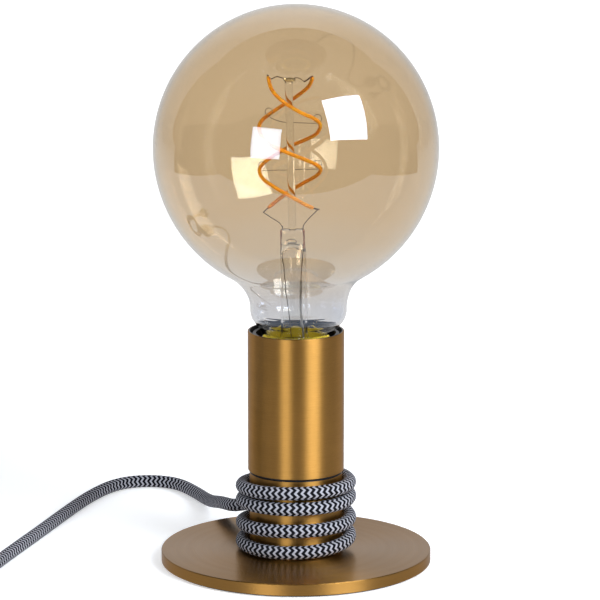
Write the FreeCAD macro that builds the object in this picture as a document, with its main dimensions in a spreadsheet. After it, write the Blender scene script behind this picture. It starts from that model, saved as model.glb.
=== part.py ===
import FreeCAD, Part
import math
import os

import Sketcher

# A small table lamp: base disc, stem with a cord wound round it, cup with the lampholder, and a
# globe bulb with two spiral filaments. Millimetres, +Z up, origin at the centre of the underside.

V = FreeCAD.Vector
X_AXIS = V(1, 0, 0)
Y_AXIS = V(0, 1, 0)
Z_AXIS = V(0, 0, 1)
ORIGIN = V(0, 0, 0)

SIZES = {
    # base disc and the pad under it
    "base_diameter": 120.0,
    "base_thick": 5.0,
    "base_edge": 0.3,
    "pad_thick": 0.8,
    "pad_inset": 1.5,
    "seat_deep": 0.4,
    # stem
    "stem_diameter": 41.2,
    "stem_high": 35.4,
    "stem_wall": 1.6,
    "stem_top": 2.0,
    "foot_thick": 3.2,
    "screw_inset": 6.0,
    "screw_turn": 10.0,
    "screw_radius": 2.0,
    "screw_head_radius": 4.0,
    "screw_long": 7.6,
    # slot in the stem where the cord comes out, and its bush
    "slot_long": 14.0,
    "slot_play": 0.3,
    "slot_side": 3.6,
    "slot_lift": 0.9,
    "bush_wall": 0.7,
    "clamp_side": 9.0,
    "clamp_long": 5.0,
    # cup
    "cup_gap": 0.8,
    "cup_gap_inset": 2.6,
    "cup_diameter": 42.6,
    "cup_high": 62.9,
    "cup_wall": 0.9,
    "cup_floor": 1.5,
    # hollow nipple and its nut
    "nipple_radius": 5.0,
    "nipple_bore": 4.0,
    "nipple_long": 17.0,
    "nut_across": 14.0,
    "nut_thick": 3.0,
    "washer_radius": 8.5,
    "washer_thick": 0.8,
    # lampholder
    "holder_gap": 1.3,
    "holder_sunk": 1.1,
    "mouth_wall": 1.4,
    "mouth_deep": 5.8,
    "ledge_thick": 1.8,
    "dome_collar": 8.2,
    "dome_collar_high": 5.5,
    "dome_wall": 1.8,
    "dome_high": 14.5,
    "spigot_high": 8.0,
    "core_thick": 4.5,
    "contact_high": 3.2,
    "terminal_apart": 8.6,
    "terminal_wide": 5.2,
    "terminal_long": 7.0,
    "terminal_high": 6.5,
    "terminal_bore": 1.35,
    "terminal_screw": 1.5,
    "lead_cover": 1.1,
    "thread_gap": 0.45,
    "shell_wall": 0.4,
    # bulb
    "bulb_long": 175.0,
    "globe_diameter": 125.0,
    "globe_lower": 64.3,
    "neck_radius": 21.3,
    "neck_flare": 18.0,
    "shoulder": 7.3,
    "neck_low": 39.9,
    "glass_wall": 0.9,
    "cap_radius": 12.95,
    "cap_flare": 2.05,
    "cap_wall": 0.35,
    "cap_high": 28.2,
    "tip_radius": 4.75,
    "tip_thick": 1.2,
    "insulator_high": 5.0,
    "flare_radius": 6.0,
    "pinch_low": 66.6,
    "pinch_high": 76.6,
    "pinch_wide": 11.4,
    "pinch_thick": 4.2,
    "rod_radius": 1.75,
    "bead_radius": 3.0,
    "bead_thick": 1.4,
    "helix_radius": 13.8,
    "helix_top": 144.1,
    "helix_low": 85.7,
    "half_pitch": 19.2,
    "helix_left": 141.9,
    "filament_radius": 0.95,
    "wire_radius": 0.25,
    "lead_radius": 0.35,
    "hook_high": 121.6,
    "hook_low": 102.8,
    "mount_lean": -2.3,
    # cord, switch and plug
    "cord_diameter": 5.8,
    "turn_gap": 0.4,
    "turn_lift": 0.1,
    "turn_two": 19.6,
    "turn_three": 29.5,
    "turn_four": 36.4,
    "coil_radius": 32.0,
    "coil_x": -227.0,
    "coil_y": 88.0,
    "switch_x": -192.1,
    "switch_y": 22.0,
    "switch_long": 62.0,
    "switch_wide": 26.0,
    "switch_end": 12.0,
    "switch_taper": 13.0,
    "switch_wall": 1.8,
    "cover_high": 9.2,
    "rocker_long": 19.0,
    "rocker_wide": 10.5,
    "rocker_gap": 0.35,
    "rocker_tilt": 7.0,
    "rocker_deep": 5.5,
    "pin_radius": 1.2,
    "plug_y": 6.0,
    "plug_long": 36.0,
    "plug_wide": 35.3,
    "plug_back": 13.0,
    "plug_high": 13.7,
    "relief_long": 30.0,
    "relief_radius": 5.4,
    "relief_tip": 4.0,
    "prong_radius": 2.0,
    "prong_long": 19.0,
    "prong_apart": 18.6,
    # fits
    "close_fit": 0.05,
    "free_gap": 0.3,
}

# The free lead's route, chosen by hand: from the top turn of the winding down behind the stem,
# over the disc's edge and along the table to the switch.
LEAD_ROUTE = [
    (16.9, 16.9, 36.4),
    (7.5, 26.5, 35.6),
    (-4.5, 34.0, 29.0),
    (-16.5, 36.0, 18.0),
    (-28.0, 43.0, 13.4),
    (-34.5, 62.0, 10.4),
    (-40.5, 86.0, 4.4),
    (-47.0, 107.0, 2.9),
    (-55.5, 124.0, 2.9),
    (-66.0, 130.6, 2.9),
    (-78.3, 130.0, 2.9),
    (-88.3, 122.0, 2.9),
    (-97.4, 103.0, 2.9),
    (-105.9, 76.4, 2.9),
    (-116.5, 39.0, 2.9),
    (-130.5, -8.0, 2.9),
    (-137.5, -34.0, 2.9),
    (-150.5, -51.0, 2.9),
    (-168.5, -56.5, 2.9),
    (-184.5, -48.5, 3.4),
    (-192.1, -32.0, 7.6),
    (-192.1, -21.0, 8.7),
    (-192.1, -9.0, 8.7),
]

doc = FreeCAD.newDocument("lamp")
sheet = doc.addObject("Spreadsheet::Sheet", "Sizes")
for row, (alias, number) in enumerate(SIZES.items(), start=1):
    sheet.set(f"A{row}", alias)
    sheet.set(f"B{row}", str(number))
    sheet.setAlias(f"B{row}", alias)
doc.recompute()


class Size:
    """A length that knows its value and the expression that binds it to the sheet."""

    def __init__(self, value, text):
        self.value = value
        self.text = text

    def joined(self, other, sign, value):
        return Size(value, f"({self.text} {sign} {sized(other).text})")

    def __add__(self, other):
        return self.joined(other, "+", self.value + sized(other).value)

    def __sub__(self, other):
        return self.joined(other, "-", self.value - sized(other).value)

    def __mul__(self, other):
        return self.joined(other, "*", self.value * sized(other).value)

    def __truediv__(self, other):
        return self.joined(other, "/", self.value / sized(other).value)

    def __neg__(self):
        return Size(-self.value, f"(0 - {self.text})")

    def __float__(self):
        return float(self.value)


def sized(number):
    """A plain number as a Size."""
    return number if isinstance(number, Size) else Size(float(number), f"{float(number):.6f}")


def size(alias):
    """The size in the sheet's cell of this name."""
    return Size(float(sheet.get(alias)), f"Sizes.{alias}")


def mm(alias):
    """The plain number in the sheet's cell of this name."""
    return size(alias).value


# ---- heights and radii that several pieces share ----
base_low = size("pad_thick")
base_top = base_low + size("base_thick")
seat = base_top - size("seat_deep")
stem_top = base_top + size("stem_high")
stem_outer = size("stem_diameter") / 2
stem_inner = stem_outer - size("stem_wall")
plate_low = stem_top - size("stem_top")
cup_low = stem_top + size("cup_gap")
cup_top = cup_low + size("cup_high")
cup_outer = size("cup_diameter") / 2
cup_seat = cup_low + size("cup_floor")
close = size("close_fit")
passage = size("nipple_radius") + close * 4

holder_outer = cup_outer - size("cup_wall") - size("holder_gap")
holder_top = cup_top - size("holder_sunk")
mouth = holder_outer - size("mouth_wall")
ledge_top = holder_top - size("mouth_deep")
ledge_low = ledge_top - size("ledge_thick")
dome_top = cup_seat + size("dome_high")
core_low = dome_top + size("spigot_high")
core_top = core_low + size("core_thick")
core_outer = mouth - close * 2
shell_bore = size("cap_radius") + size("thread_gap")
shell_outer = shell_bore + size("shell_wall")
screw_ring = stem_inner - size("screw_inset")

bulb_low = core_top + size("contact_high")
bulb_top = bulb_low + size("bulb_long")
insulator_low = bulb_low + size("tip_thick")
cap_low = insulator_low + size("insulator_high")
cap_top = bulb_low + size("cap_high")
globe_centre = bulb_top - size("globe_diameter") / 2
lean = mm("mount_lean")

cord_radius = size("cord_diameter") / 2
cord_axis = size("cord_diameter") * 1.5
slot_centre = base_top + cord_radius + size("slot_lift")


# ---- how pieces are made ----
def plane(body, role):
    """The body's own origin plane of this role."""
    return next(f for f in body.Origin.OriginFeatures if f.Role == role)


def new_sketch(body, name, role, offset=None):
    """A sketch on one of the body's origin planes, offset along the plane's normal."""
    drawn = body.newObject("Sketcher::SketchObject", name)
    drawn.AttachmentSupport = [(plane(body, role), "")]
    drawn.MapMode = "FlatFace"
    if offset is not None:
        drawn.setExpression("AttachmentOffset.Base.z", sized(offset).text)
    return drawn


def pin_point(drawn, line, end, across, up):
    """Holds one end of a line at its two coordinates."""
    for kind, value in (("DistanceX", across), ("DistanceY", up)):
        value = sized(value)
        number = drawn.addConstraint(Sketcher.Constraint(kind, line, end, value.value))
        drawn.setExpression(f"Constraints[{number}]", value.text)


def outline(drawn, corners):
    """A closed outline of straight lines through the corners."""
    first = drawn.GeometryCount
    ends = corners[1:] + corners[:1]
    for start, end in zip(corners, ends):
        a = V(float(start[0]), float(start[1]), 0)
        b = V(float(end[0]), float(end[1]), 0)
        drawn.addGeometry(Part.LineSegment(a, b), False)
    count = len(corners)
    for index in range(count):
        after = first + (index + 1) % count
        drawn.addConstraint(Sketcher.Constraint("Coincident", first + index, 2, after, 1))
    for index, (across, up) in enumerate(corners):
        pin_point(drawn, first + index, 1, across, up)


def circle(drawn, across, up, radius):
    """A circle at a point."""
    place = V(float(across), float(up), 0)
    ring = drawn.addGeometry(Part.Circle(place, Z_AXIS, float(radius)), False)
    number = drawn.addConstraint(Sketcher.Constraint("Radius", ring, float(radius)))
    drawn.setExpression(f"Constraints[{number}]", sized(radius).text)
    pin_point(drawn, ring, 3, across, up)


def new_body(label):
    """An empty body of this name."""
    body = doc.addObject("PartDesign::Body", label)
    body.Label = label
    return body


def turned(label, corners):
    """A body turned about the lamp's axis from a profile of (radius, height) corners."""
    body = new_body(label)
    drawn = new_sketch(body, label + "_profile", "XZ_Plane")
    outline(drawn, corners)
    turn = body.newObject("PartDesign::Revolution", label + "_turn")
    turn.Profile = drawn
    turn.ReferenceAxis = (drawn, ["V_Axis"])
    turn.Angle = 360
    drawn.Visibility = False
    doc.recompute()
    return body


def padded(label, corners, low, high, role="XY_Plane"):
    """A body padded from an outline, from one height to another along the plane's normal."""
    body = new_body(label)
    drawn = new_sketch(body, label + "_outline", role, low)
    outline(drawn, corners)
    pad = body.newObject("PartDesign::Pad", label + "_pad")
    pad.Profile = drawn
    pad.setExpression("Length", (sized(high) - low).text)
    drawn.Visibility = False
    doc.recompute()
    return body


def pocket(body, name, drawn, deep=None, back=False):
    """Cuts a sketch out of the body, all the way or to a depth, and makes sure that it cuts."""
    doc.recompute()
    before = body.Shape.Volume
    cut = body.newObject("PartDesign::Pocket", name)
    cut.Profile = drawn
    cut.Reversed = back
    if deep is None:
        cut.Type = 1
    else:
        cut.setExpression("Length", sized(deep).text)
    drawn.Visibility = False
    doc.recompute()
    if body.Shape.Volume > before - 0.01:
        raise RuntimeError(f"{name} cuts nothing")
    return cut


def dressed(body, kind, amount, chosen):
    """Fillets or chamfers the edges of the body that `chosen` picks."""
    doc.recompute()
    tip = body.Tip
    names = [f"Edge{n}" for n, edge in enumerate(tip.Shape.Edges, start=1) if chosen(edge)]
    dressing = body.newObject(f"PartDesign::{kind}", f"{body.Label}_{kind.lower()}_{len(body.Group)}")
    dressing.Base = (tip, names)
    dressing.setExpression("Radius" if kind == "Fillet" else "Size", sized(amount).text)
    doc.recompute()
    return dressing


def ring_at(radius, height):
    """Picks the full circles of a radius at a height."""

    def chosen(edge):
        curve = edge.Curve
        if not isinstance(curve, Part.Circle) or len(edge.Vertexes) > 1:
            return False
        same_height = abs(curve.Center.z - float(height)) < 0.01
        return same_height and abs(curve.Radius - float(radius)) < 0.01

    return chosen


def solid_feature(label, shape):
    """A sub-part whose shape is worked out from the sheet's sizes in this file."""
    feature = doc.addObject("Part::Feature", label)
    feature.Label = label
    feature.Shape = shape
    return feature


def bolt_circle(count, radius, start=90.0):
    """Points evenly spaced on a circle."""
    angles = [math.radians(start + 360.0 * n / count) for n in range(count)]
    return [(radius * math.cos(a), radius * math.sin(a)) for a in angles]


def revolved_wire(points, base=ORIGIN, direction=Z_AXIS):
    """A solid turned about an axis from (radius, height) corners, placed at base along direction."""
    corners = [V(r, 0, z) for r, z in points]
    face = Part.Face(Part.makePolygon(corners + corners[:1]))
    solid = face.revolve(ORIGIN, Z_AXIS, 360)
    solid.Placement = FreeCAD.Placement(base, FreeCAD.Rotation(Z_AXIS, direction))
    return solid


def route_edges(points):
    """Straight runs joined by tangent arcs through the points, with the arcs' radii."""
    points = [V(*p) for p in points]
    edges, radii = [], []
    here = points[0]
    for before, corner, after in zip(points, points[1:], points[2:]):
        inward = (corner - before).normalize()
        onward = (after - corner).normalize()
        turn = inward.getAngle(onward)
        tangent = 0.45 * min((corner - before).Length, (after - corner).Length)
        radius = tangent / math.tan(turn / 2)
        start = corner - inward * tangent
        end = corner + onward * tangent
        aside = (onward - inward).normalize()
        middle = corner + aside * (radius / math.cos(turn / 2) - radius)
        edges.append(Part.LineSegment(here, start).toShape())
        edges.append(Part.Arc(start, middle, end).toShape())
        radii.append(radius)
        here = end
    edges.append(Part.LineSegment(here, points[-1]).toShape())
    return edges, radii


def tube(points, radius):
    """A round tube along straight runs and tangent arcs, with its length and radii."""
    edges, radii = route_edges(points)
    path = Part.Wire(edges)
    start = V(*points[0])
    heading = V(*points[1]) - start
    section = Part.Wire(Part.makeCircle(radius, start, heading))
    solid = path.makePipeShell([section], True, False)
    length = sum(edge.Length for edge in edges)
    if abs(solid.Volume / (math.pi * radius**2 * length) - 1) > 0.01:
        raise RuntimeError("a tube's volume isn't its section times its length")
    return solid, length, radii


# ---- base ----
def base_plate():
    """The disc, with the stem's seat in its top and three countersunk holes from below."""
    outer = size("base_diameter") / 2
    seat_radius = stem_outer + close
    body = turned(
        "base_plate",
        [
            (0, base_low),
            (outer, base_low),
            (outer, base_top),
            (seat_radius, base_top),
            (seat_radius, seat),
            (0, seat),
        ],
    )
    drawn = new_sketch(body, "base_plate_holes", "XY_Plane", base_low)
    hole = size("screw_radius") + close * 4
    for x, y in bolt_circle(3, 1.0, mm("screw_turn")):
        circle(drawn, screw_ring * x, screw_ring * y, hole)
    pocket(body, "base_plate_drilled", drawn, back=True)

    def hole_mouth(edge):
        curve = edge.Curve
        return (
            isinstance(curve, Part.Circle)
            and abs(curve.Radius - float(hole)) < 0.01
            and abs(curve.Center.z - float(base_low)) < 0.01
        )

    dressed(body, "Chamfer", size("screw_head_radius") - size("screw_radius"), hole_mouth)
    dressed(body, "Chamfer", size("base_edge"), ring_at(outer, base_top))
    return body


def base_pad():
    """The thin pad glued under the disc."""
    outer = size("base_diameter") / 2 - size("pad_inset")
    return turned("base_pad", [(0, 0), (outer, 0), (outer, base_low), (0, base_low)])


# ---- stem ----
def slot_corners(shrink):
    """The cord slot's outline on the back of the stem, drawn as an octagon with long flats."""
    half = size("slot_long") / 2 - shrink
    tall = cord_radius + size("bush_wall") + close + size("slot_play") / 2 - shrink
    side = size("slot_side")
    level = slot_centre
    cut = tall / 2
    return [
        (side - half, level - cut),
        (side - half + cut, level - tall),
        (side + half - cut, level - tall),
        (side + half, level - cut),
        (side + half, level + cut),
        (side + half - cut, level + tall),
        (side - half + cut, level + tall),
        (side - half, level + cut),
    ]


def stem_tube():
    """The stem: a tube closed at its top, with the cord's slot at the back."""
    body = turned(
        "stem_tube",
        [
            (stem_inner, seat),
            (stem_outer, seat),
            (stem_outer, stem_top),
            (passage, stem_top),
            (passage, plate_low),
            (stem_inner, plate_low),
        ],
    )
    drawn = new_sketch(body, "stem_tube_slot", "XZ_Plane")
    outline(drawn, slot_corners(0))
    pocket(body, "stem_tube_cut", drawn, stem_outer + 1)
    dressed(body, "Chamfer", 0.25, ring_at(stem_outer, stem_top))
    return body


def stem_foot():
    """The plate inside the stem's lower end that the screws pull on."""
    top = seat + size("foot_thick")
    outer = stem_inner - close
    body = turned("stem_foot", [(0, seat), (outer, seat), (outer, top), (0, top)])
    drawn = new_sketch(body, "stem_foot_holes", "XY_Plane", seat)
    for x, y in bolt_circle(3, 1.0, mm("screw_turn")):
        circle(drawn, screw_ring * x, screw_ring * y, size("screw_radius") + close)
    pocket(body, "stem_foot_drilled", drawn, back=True)
    notch = new_sketch(body, "stem_foot_notch", "XY_Plane", seat)
    half = size("slot_long") / 2 + 1
    left = size("slot_side") - half
    right = size("slot_side") + half
    depth = outer * 0.4
    outline(notch, [(left, depth), (right, depth), (right, outer + 1), (left, outer + 1)])
    pocket(body, "stem_foot_notched", notch, back=True)
    return body


def stem_screws():
    """Three countersunk screws that hold the stem's foot to the disc."""
    shank = mm("screw_radius")
    head = mm("screw_head_radius")
    low = base_low.value + 0.1
    cone = low + head - shank
    top = low + mm("screw_long")
    profile = [(0, low), (head, low), (shank, cone), (shank, top), (0, top)]
    places = bolt_circle(3, screw_ring.value, mm("screw_turn"))
    screws = [revolved_wire(profile, V(x, y, 0)) for x, y in places]
    return solid_feature("stem_screws", Part.makeCompound(screws))


def cord_bush():
    """The black bush that lines the slot, curved like the stem's wall."""
    depth = stem_outer.value + 2
    blanks = []
    for shrink in (mm("close_fit"), mm("close_fit") + mm("bush_wall")):
        corners = [V(float(x), 0, float(z)) for x, z in slot_corners(shrink)]
        face = Part.Face(Part.makePolygon(corners + corners[:1]))
        blanks.append(face.extrude(V(0, depth, 0)))
    outer = Part.makeCylinder(stem_outer.value + 0.1, stem_top.value)
    inner = Part.makeCylinder(stem_inner.value - 0.9, stem_top.value)
    lining = blanks[0].cut(blanks[1]).common(outer.cut(inner))
    return solid_feature("cord_bush", lining.Solids[0])


def cord_clamp():
    """A small saddle on the foot that holds the cord against a pull."""
    floor = seat + size("foot_thick")
    wide = size("cord_diameter") + 8
    deep = size("cord_diameter") + 0.6
    half = wide / 2
    middle = size("clamp_side")
    top = floor + deep
    left, right = middle - half, middle + half
    corners = [(left, floor), (right, floor), (right, top), (left, top)]
    body = padded("cord_clamp", corners, -size("clamp_long"), 0.0, "XZ_Plane")
    drawn = new_sketch(body, "cord_clamp_arch", "XZ_Plane")
    bore = cord_radius + close
    low = floor - 1
    high = floor + bore * 2
    left, right = middle - bore, middle + bore
    outline(drawn, [(left, low), (right, low), (right, high), (left, high)])
    pocket(body, "cord_clamp_cut", drawn)
    return body


def inner_cord():
    """The cord inside the stem, from the slot under the clamp and up through the nipple."""
    level = seat.value + mm("foot_thick") + cord_radius.value + 0.1
    top = cup_seat.value + 8
    side = mm("clamp_side")
    points = [
        (5.6, 17.8, slot_centre.value - 0.1),
        (side + 0.4, 12.6, level - 0.4),
        (side, 6.6, level),
        (side, -4.6, level),
        (3.6, -10.6, level + 5.4),
        (0.0, -3.4, level + 12.6),
        (0.0, 0.0, level + 20.6),
        (0.0, 0.0, top),
    ]
    solid, length, _ = tube(points, cord_radius.value)
    print(f"inner cord {length:.0f} mm long")
    return solid_feature("inner_cord", solid)


# ---- fixing between stem, cup and lampholder ----
def nipple():
    """The hollow threaded tube that ties stem, washer, cup and lampholder together."""
    low = plate_low - size("washer_thick") - size("nut_thick") - 1
    top = low + size("nipple_long")
    bore = size("nipple_bore")
    outer = size("nipple_radius")
    return turned("nipple", [(bore, low), (outer, low), (outer, top), (bore, top)])


def nipple_nut():
    """A thin hexagon nut below the stem's top plate."""
    top = plate_low - size("washer_thick")
    reach = size("nut_across") / math.sqrt(3)
    corners = [(reach * x, reach * y) for x, y in bolt_circle(6, 1.0)]
    body = padded("nipple_nut", corners, top - size("nut_thick"), top)
    drawn = new_sketch(body, "nipple_nut_bore", "XY_Plane", top)
    circle(drawn, 0, 0, size("nipple_radius") + close)
    pocket(body, "nipple_nut_bored", drawn)
    return body


def flat_ring(label, inner, outer, low, top):
    """A flat washer round the lamp's axis."""
    return turned(label, [(inner, low), (outer, low), (outer, top), (inner, top)])


# ---- cup ----
def lamp_cup():
    """The thin-walled cup that hides the lampholder."""
    inner = cup_outer - size("cup_wall")
    body = turned(
        "lamp_cup",
        [
            (passage, cup_low),
            (cup_outer, cup_low),
            (cup_outer, cup_top),
            (inner, cup_top),
            (inner, cup_seat),
            (passage, cup_seat),
        ],
    )
    dressed(body, "Chamfer", 0.25, ring_at(cup_outer, cup_low))
    dressed(body, "Chamfer", 0.2, ring_at(cup_outer, cup_top))
    return body


# ---- lampholder ----
def holder_dome():
    """The holder's lower half: a threaded collar, a sloping shoulder and a spigot for the skirt."""
    wall = size("dome_wall")
    collar = size("dome_collar")
    collar_top = cup_seat + size("dome_collar_high")
    shoulder = dome_top - 5
    bore = size("nipple_radius") + close
    body = turned(
        "holder_dome",
        [
            (bore, cup_seat),
            (collar, cup_seat),
            (collar, collar_top),
            (holder_outer, shoulder),
            (holder_outer, dome_top),
            (core_outer, dome_top),
            (core_outer, core_low),
            (core_outer - wall, core_low),
            (core_outer - wall, shoulder + 1.2),
            (collar - 1.2, collar_top + 1.6),
            (bore, collar_top + 1.6),
        ],
    )
    drawn = new_sketch(body, "holder_dome_grub_hole", "XZ_Plane")
    circle(drawn, 0, cup_seat + size("dome_collar_high") / 2, 1.5 + close.value)
    pocket(body, "holder_dome_drilled", drawn, collar + 1, back=True)
    return body


def holder_grub():
    """The grub screw that keeps the holder from turning on the nipple."""
    start = mm("nipple_radius") + mm("close_fit")
    level = cup_seat.value + mm("dome_collar_high") / 2
    screw = Part.makeCylinder(1.5, 3.0, V(0, -start, level), -Y_AXIS)
    return solid_feature("holder_grub", screw)


def holder_skirt():
    """The holder's upper sleeve with its mouth and the ledge that keeps the screw shell down."""
    ledge = shell_bore + 0.9
    return turned(
        "holder_skirt",
        [
            (mouth, dome_top),
            (holder_outer, dome_top),
            (holder_outer, holder_top),
            (mouth, holder_top),
            (mouth, ledge_top),
            (ledge, ledge_top),
            (ledge, ledge_low),
            (mouth, ledge_low),
        ],
    )


def holder_core():
    """The insulating disc that carries the contacts, with a hole for each terminal screw."""
    corners = [(0, core_low), (core_outer, core_low), (core_outer, core_top), (0, core_top)]
    body = turned("holder_core", corners)
    drawn = new_sketch(body, "holder_core_holes", "XY_Plane", core_top)
    for side in (-1, 1):
        circle(drawn, size("terminal_apart") * side, 0, size("terminal_screw") + close)
    pocket(body, "holder_core_drilled", drawn)
    return body


def thread_shell():
    """The screw shell that takes the bulb's cap, with its turned-in foot on the core."""
    wall = size("shell_wall")
    bore = shell_bore
    foot = bore - 2.2
    return turned(
        "thread_shell",
        [
            (foot, core_top),
            (shell_outer, core_top),
            (shell_outer, ledge_low),
            (bore, ledge_low),
            (bore, core_top + wall),
            (foot, core_top + wall),
        ],
    )


def centre_contact():
    """A bent leaf spring on the core that presses on the bulb's tip."""
    thin = 0.4
    top = bulb_low - 0.1
    foot = core_top
    end = -shell_bore + 4.4
    corners = [
        (end, foot),
        (end + 3.6, foot),
        (2.2, top - thin),
        (4.4, top - thin - 0.7),
        (4.4, top - 0.7),
        (2.0, top),
        (0.6, top),
        (end + 3.5, foot + thin),
        (end, foot + thin),
    ]
    return padded("centre_contact", corners, -2.5, 2.5, "XZ_Plane")


def side_contact():
    """The strip that joins the screw shell's foot to its terminal."""
    low = core_top + size("shell_wall")
    inner, outer = shell_bore - 7.8, shell_bore - 0.8
    corners = [(inner, -2.5), (outer, -2.5), (outer, 2.5), (inner, 2.5)]
    return padded("side_contact", corners, low, low + 0.4)


def terminals():
    """Two brass blocks under the core."""
    wide, long, high = mm("terminal_wide"), mm("terminal_long"), mm("terminal_high")
    blocks = []
    for side in (-1, 1):
        middle = side * mm("terminal_apart")
        block = Part.makeBox(wide, long, high, V(middle - wide / 2, -long / 2, core_low.value - high))
        mouth_at = V(middle, -long / 2 - 0.1, core_low.value - 4.2)
        bore = Part.makeCylinder(mm("terminal_bore"), 5.0, mouth_at, Y_AXIS)
        blocks.append(block.cut(bore))
    return solid_feature("terminals", Part.makeCompound(blocks))


def terminal_screws():
    """Two headless screws that hold the terminals to the core, sunk in its holes."""
    long = mm("core_thick") - 1.2
    screws = []
    for side in (-1, 1):
        base = V(side * mm("terminal_apart"), 0, core_low.value)
        screws.append(Part.makeCylinder(mm("terminal_screw"), long, base))
    return solid_feature("terminal_screws", Part.makeCompound(screws))


def wiring(label, side):
    """An insulated lead from the cord's end to a terminal."""
    end = cup_seat.value + 8
    across = side * mm("terminal_apart")
    points = [
        (side * 1.3, 0, end),
        (side * 1.3, 0, end + 2.0),
        (side * 6.0, -6.2, end + 5.0),
        (across, -9.0, core_low.value - 4.4),
        (across, -mm("terminal_long") / 2 - 0.1, core_low.value - 4.2),
    ]
    solid, _, _ = tube(points, mm("lead_cover"))
    return solid_feature(label, solid)


# ---- bulb ----
def globe_wire(inset):
    """The glass's outline as lines and arcs, `inset` inside its outer face."""
    top_radius = mm("globe_diameter") / 2
    low_radius = mm("globe_lower")
    flare = mm("neck_flare")
    neck = mm("neck_radius")
    shoulder = mm("shoulder")
    centre = V(0, 0, globe_centre.value)
    low_centre = V(top_radius - low_radius, 0, centre.z)
    flare_x = neck + flare
    drop = math.sqrt((low_radius + flare) ** 2 - (flare_x - low_centre.x) ** 2)
    flare_centre = V(flare_x, 0, centre.z - drop)
    towards = (flare_centre - low_centre).normalize()
    shoulder_centre = V(neck - shoulder, 0, bulb_low.value + mm("neck_low"))
    stub = mm("cap_radius") - mm("cap_wall") - mm("free_gap")

    def on(middle, radius, angle):
        a = math.radians(angle)
        return middle + V(radius * math.cos(a), 0, radius * math.sin(a))

    join = math.degrees(math.atan2(towards.z, towards.x))
    lap = 180 + join
    arcs = [
        (centre, top_radius - inset, 90, 0),
        (low_centre, low_radius - inset, 0, join),
        (flare_centre, flare + inset, lap, 180),
        (shoulder_centre, shoulder - inset, 0, -78),
    ]
    edges = []
    here = None
    for middle, radius, start, end in arcs:
        first, last = on(middle, radius, start), on(middle, radius, end)
        if here is not None and (first - here).Length > 1e-6:
            edges.append(Part.LineSegment(here, first).toShape())
        edges.append(Part.Arc(first, on(middle, radius, (start + end) / 2), last).toShape())
        here = last
    low = bulb_low.value + mm("cap_high") - 7.0
    knee = V(stub - inset, 0, cap_top.value + 0.6)
    corners = [here, knee, V(stub - inset, 0, low)]
    edges += [Part.LineSegment(a, b).toShape() for a, b in zip(corners, corners[1:])]
    return edges, corners[-1]


def bulb_globe():
    """The blown glass: globe, flared neck, shoulder and the stub that sits in the cap."""
    outer, outer_end = globe_wire(0)
    inner, inner_end = globe_wire(mm("glass_wall"))
    top = V(0, 0, bulb_top.value)
    inner_top = V(0, 0, bulb_top.value - mm("glass_wall"))
    rim = Part.LineSegment(outer_end, inner_end).toShape()
    crown = Part.LineSegment(inner_top, top).toShape()
    wire = Part.Wire(Part.__sortEdges__(outer + [rim] + inner + [crown]))
    return solid_feature("bulb_globe", Part.Face(wire).revolve(ORIGIN, Z_AXIS, 360))


def bulb_cap():
    """The screw cap: a thin shell with a flared rim and a turned-in foot."""
    outer = size("cap_radius")
    wall = size("cap_wall")
    rim = outer + size("cap_flare")
    flare = cap_top - 3.2
    return turned(
        "bulb_cap",
        [
            (outer - 1.6, cap_low),
            (outer, cap_low + 1.2),
            (outer, flare),
            (rim, cap_top - 0.6),
            (rim, cap_top),
            (rim - wall, cap_top),
            (rim - wall, cap_top - 0.5),
            (outer - wall, flare + 0.1),
            (outer - wall, cap_low + 1.5),
            (outer - 1.6 - wall, cap_low + 0.3),
        ],
    )


def bulb_cement():
    """The ring of cement between the glass stub and the cap's flare."""
    stub = size("cap_radius") - size("cap_wall") - size("free_gap")
    outer = size("cap_radius") + size("cap_flare") - size("cap_wall") - close
    flare = cap_top - 3.2
    inside = size("cap_radius") - size("cap_wall") - close
    return turned(
        "bulb_cement",
        [
            (stub + 0.02, flare),
            (inside, flare + 0.15),
            (outer, cap_top - 0.35),
            (outer, cap_top + 0.3),
            (stub + 0.02, cap_top + 0.3),
        ],
    )


def bulb_insulator():
    """The black cone between the cap's foot and the tip."""
    top = cap_low
    rim = size("cap_radius") - 1.6
    return turned(
        "bulb_insulator",
        [
            (0, insulator_low),
            (size("tip_radius") + 0.65, insulator_low),
            (rim, top),
            (rim - size("cap_wall"), top + 0.25),
            (rim - 1.2, top + 1.6),
            (0, top + 1.6),
        ],
    )


def bulb_tip():
    """The round contact at the bulb's lowest point."""
    radius = size("tip_radius")
    return turned(
        "bulb_tip",
        [
            (0, bulb_low),
            (radius - 0.8, bulb_low),
            (radius, bulb_low + 0.7),
            (radius, insulator_low),
            (0, insulator_low),
        ],
    )


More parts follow.
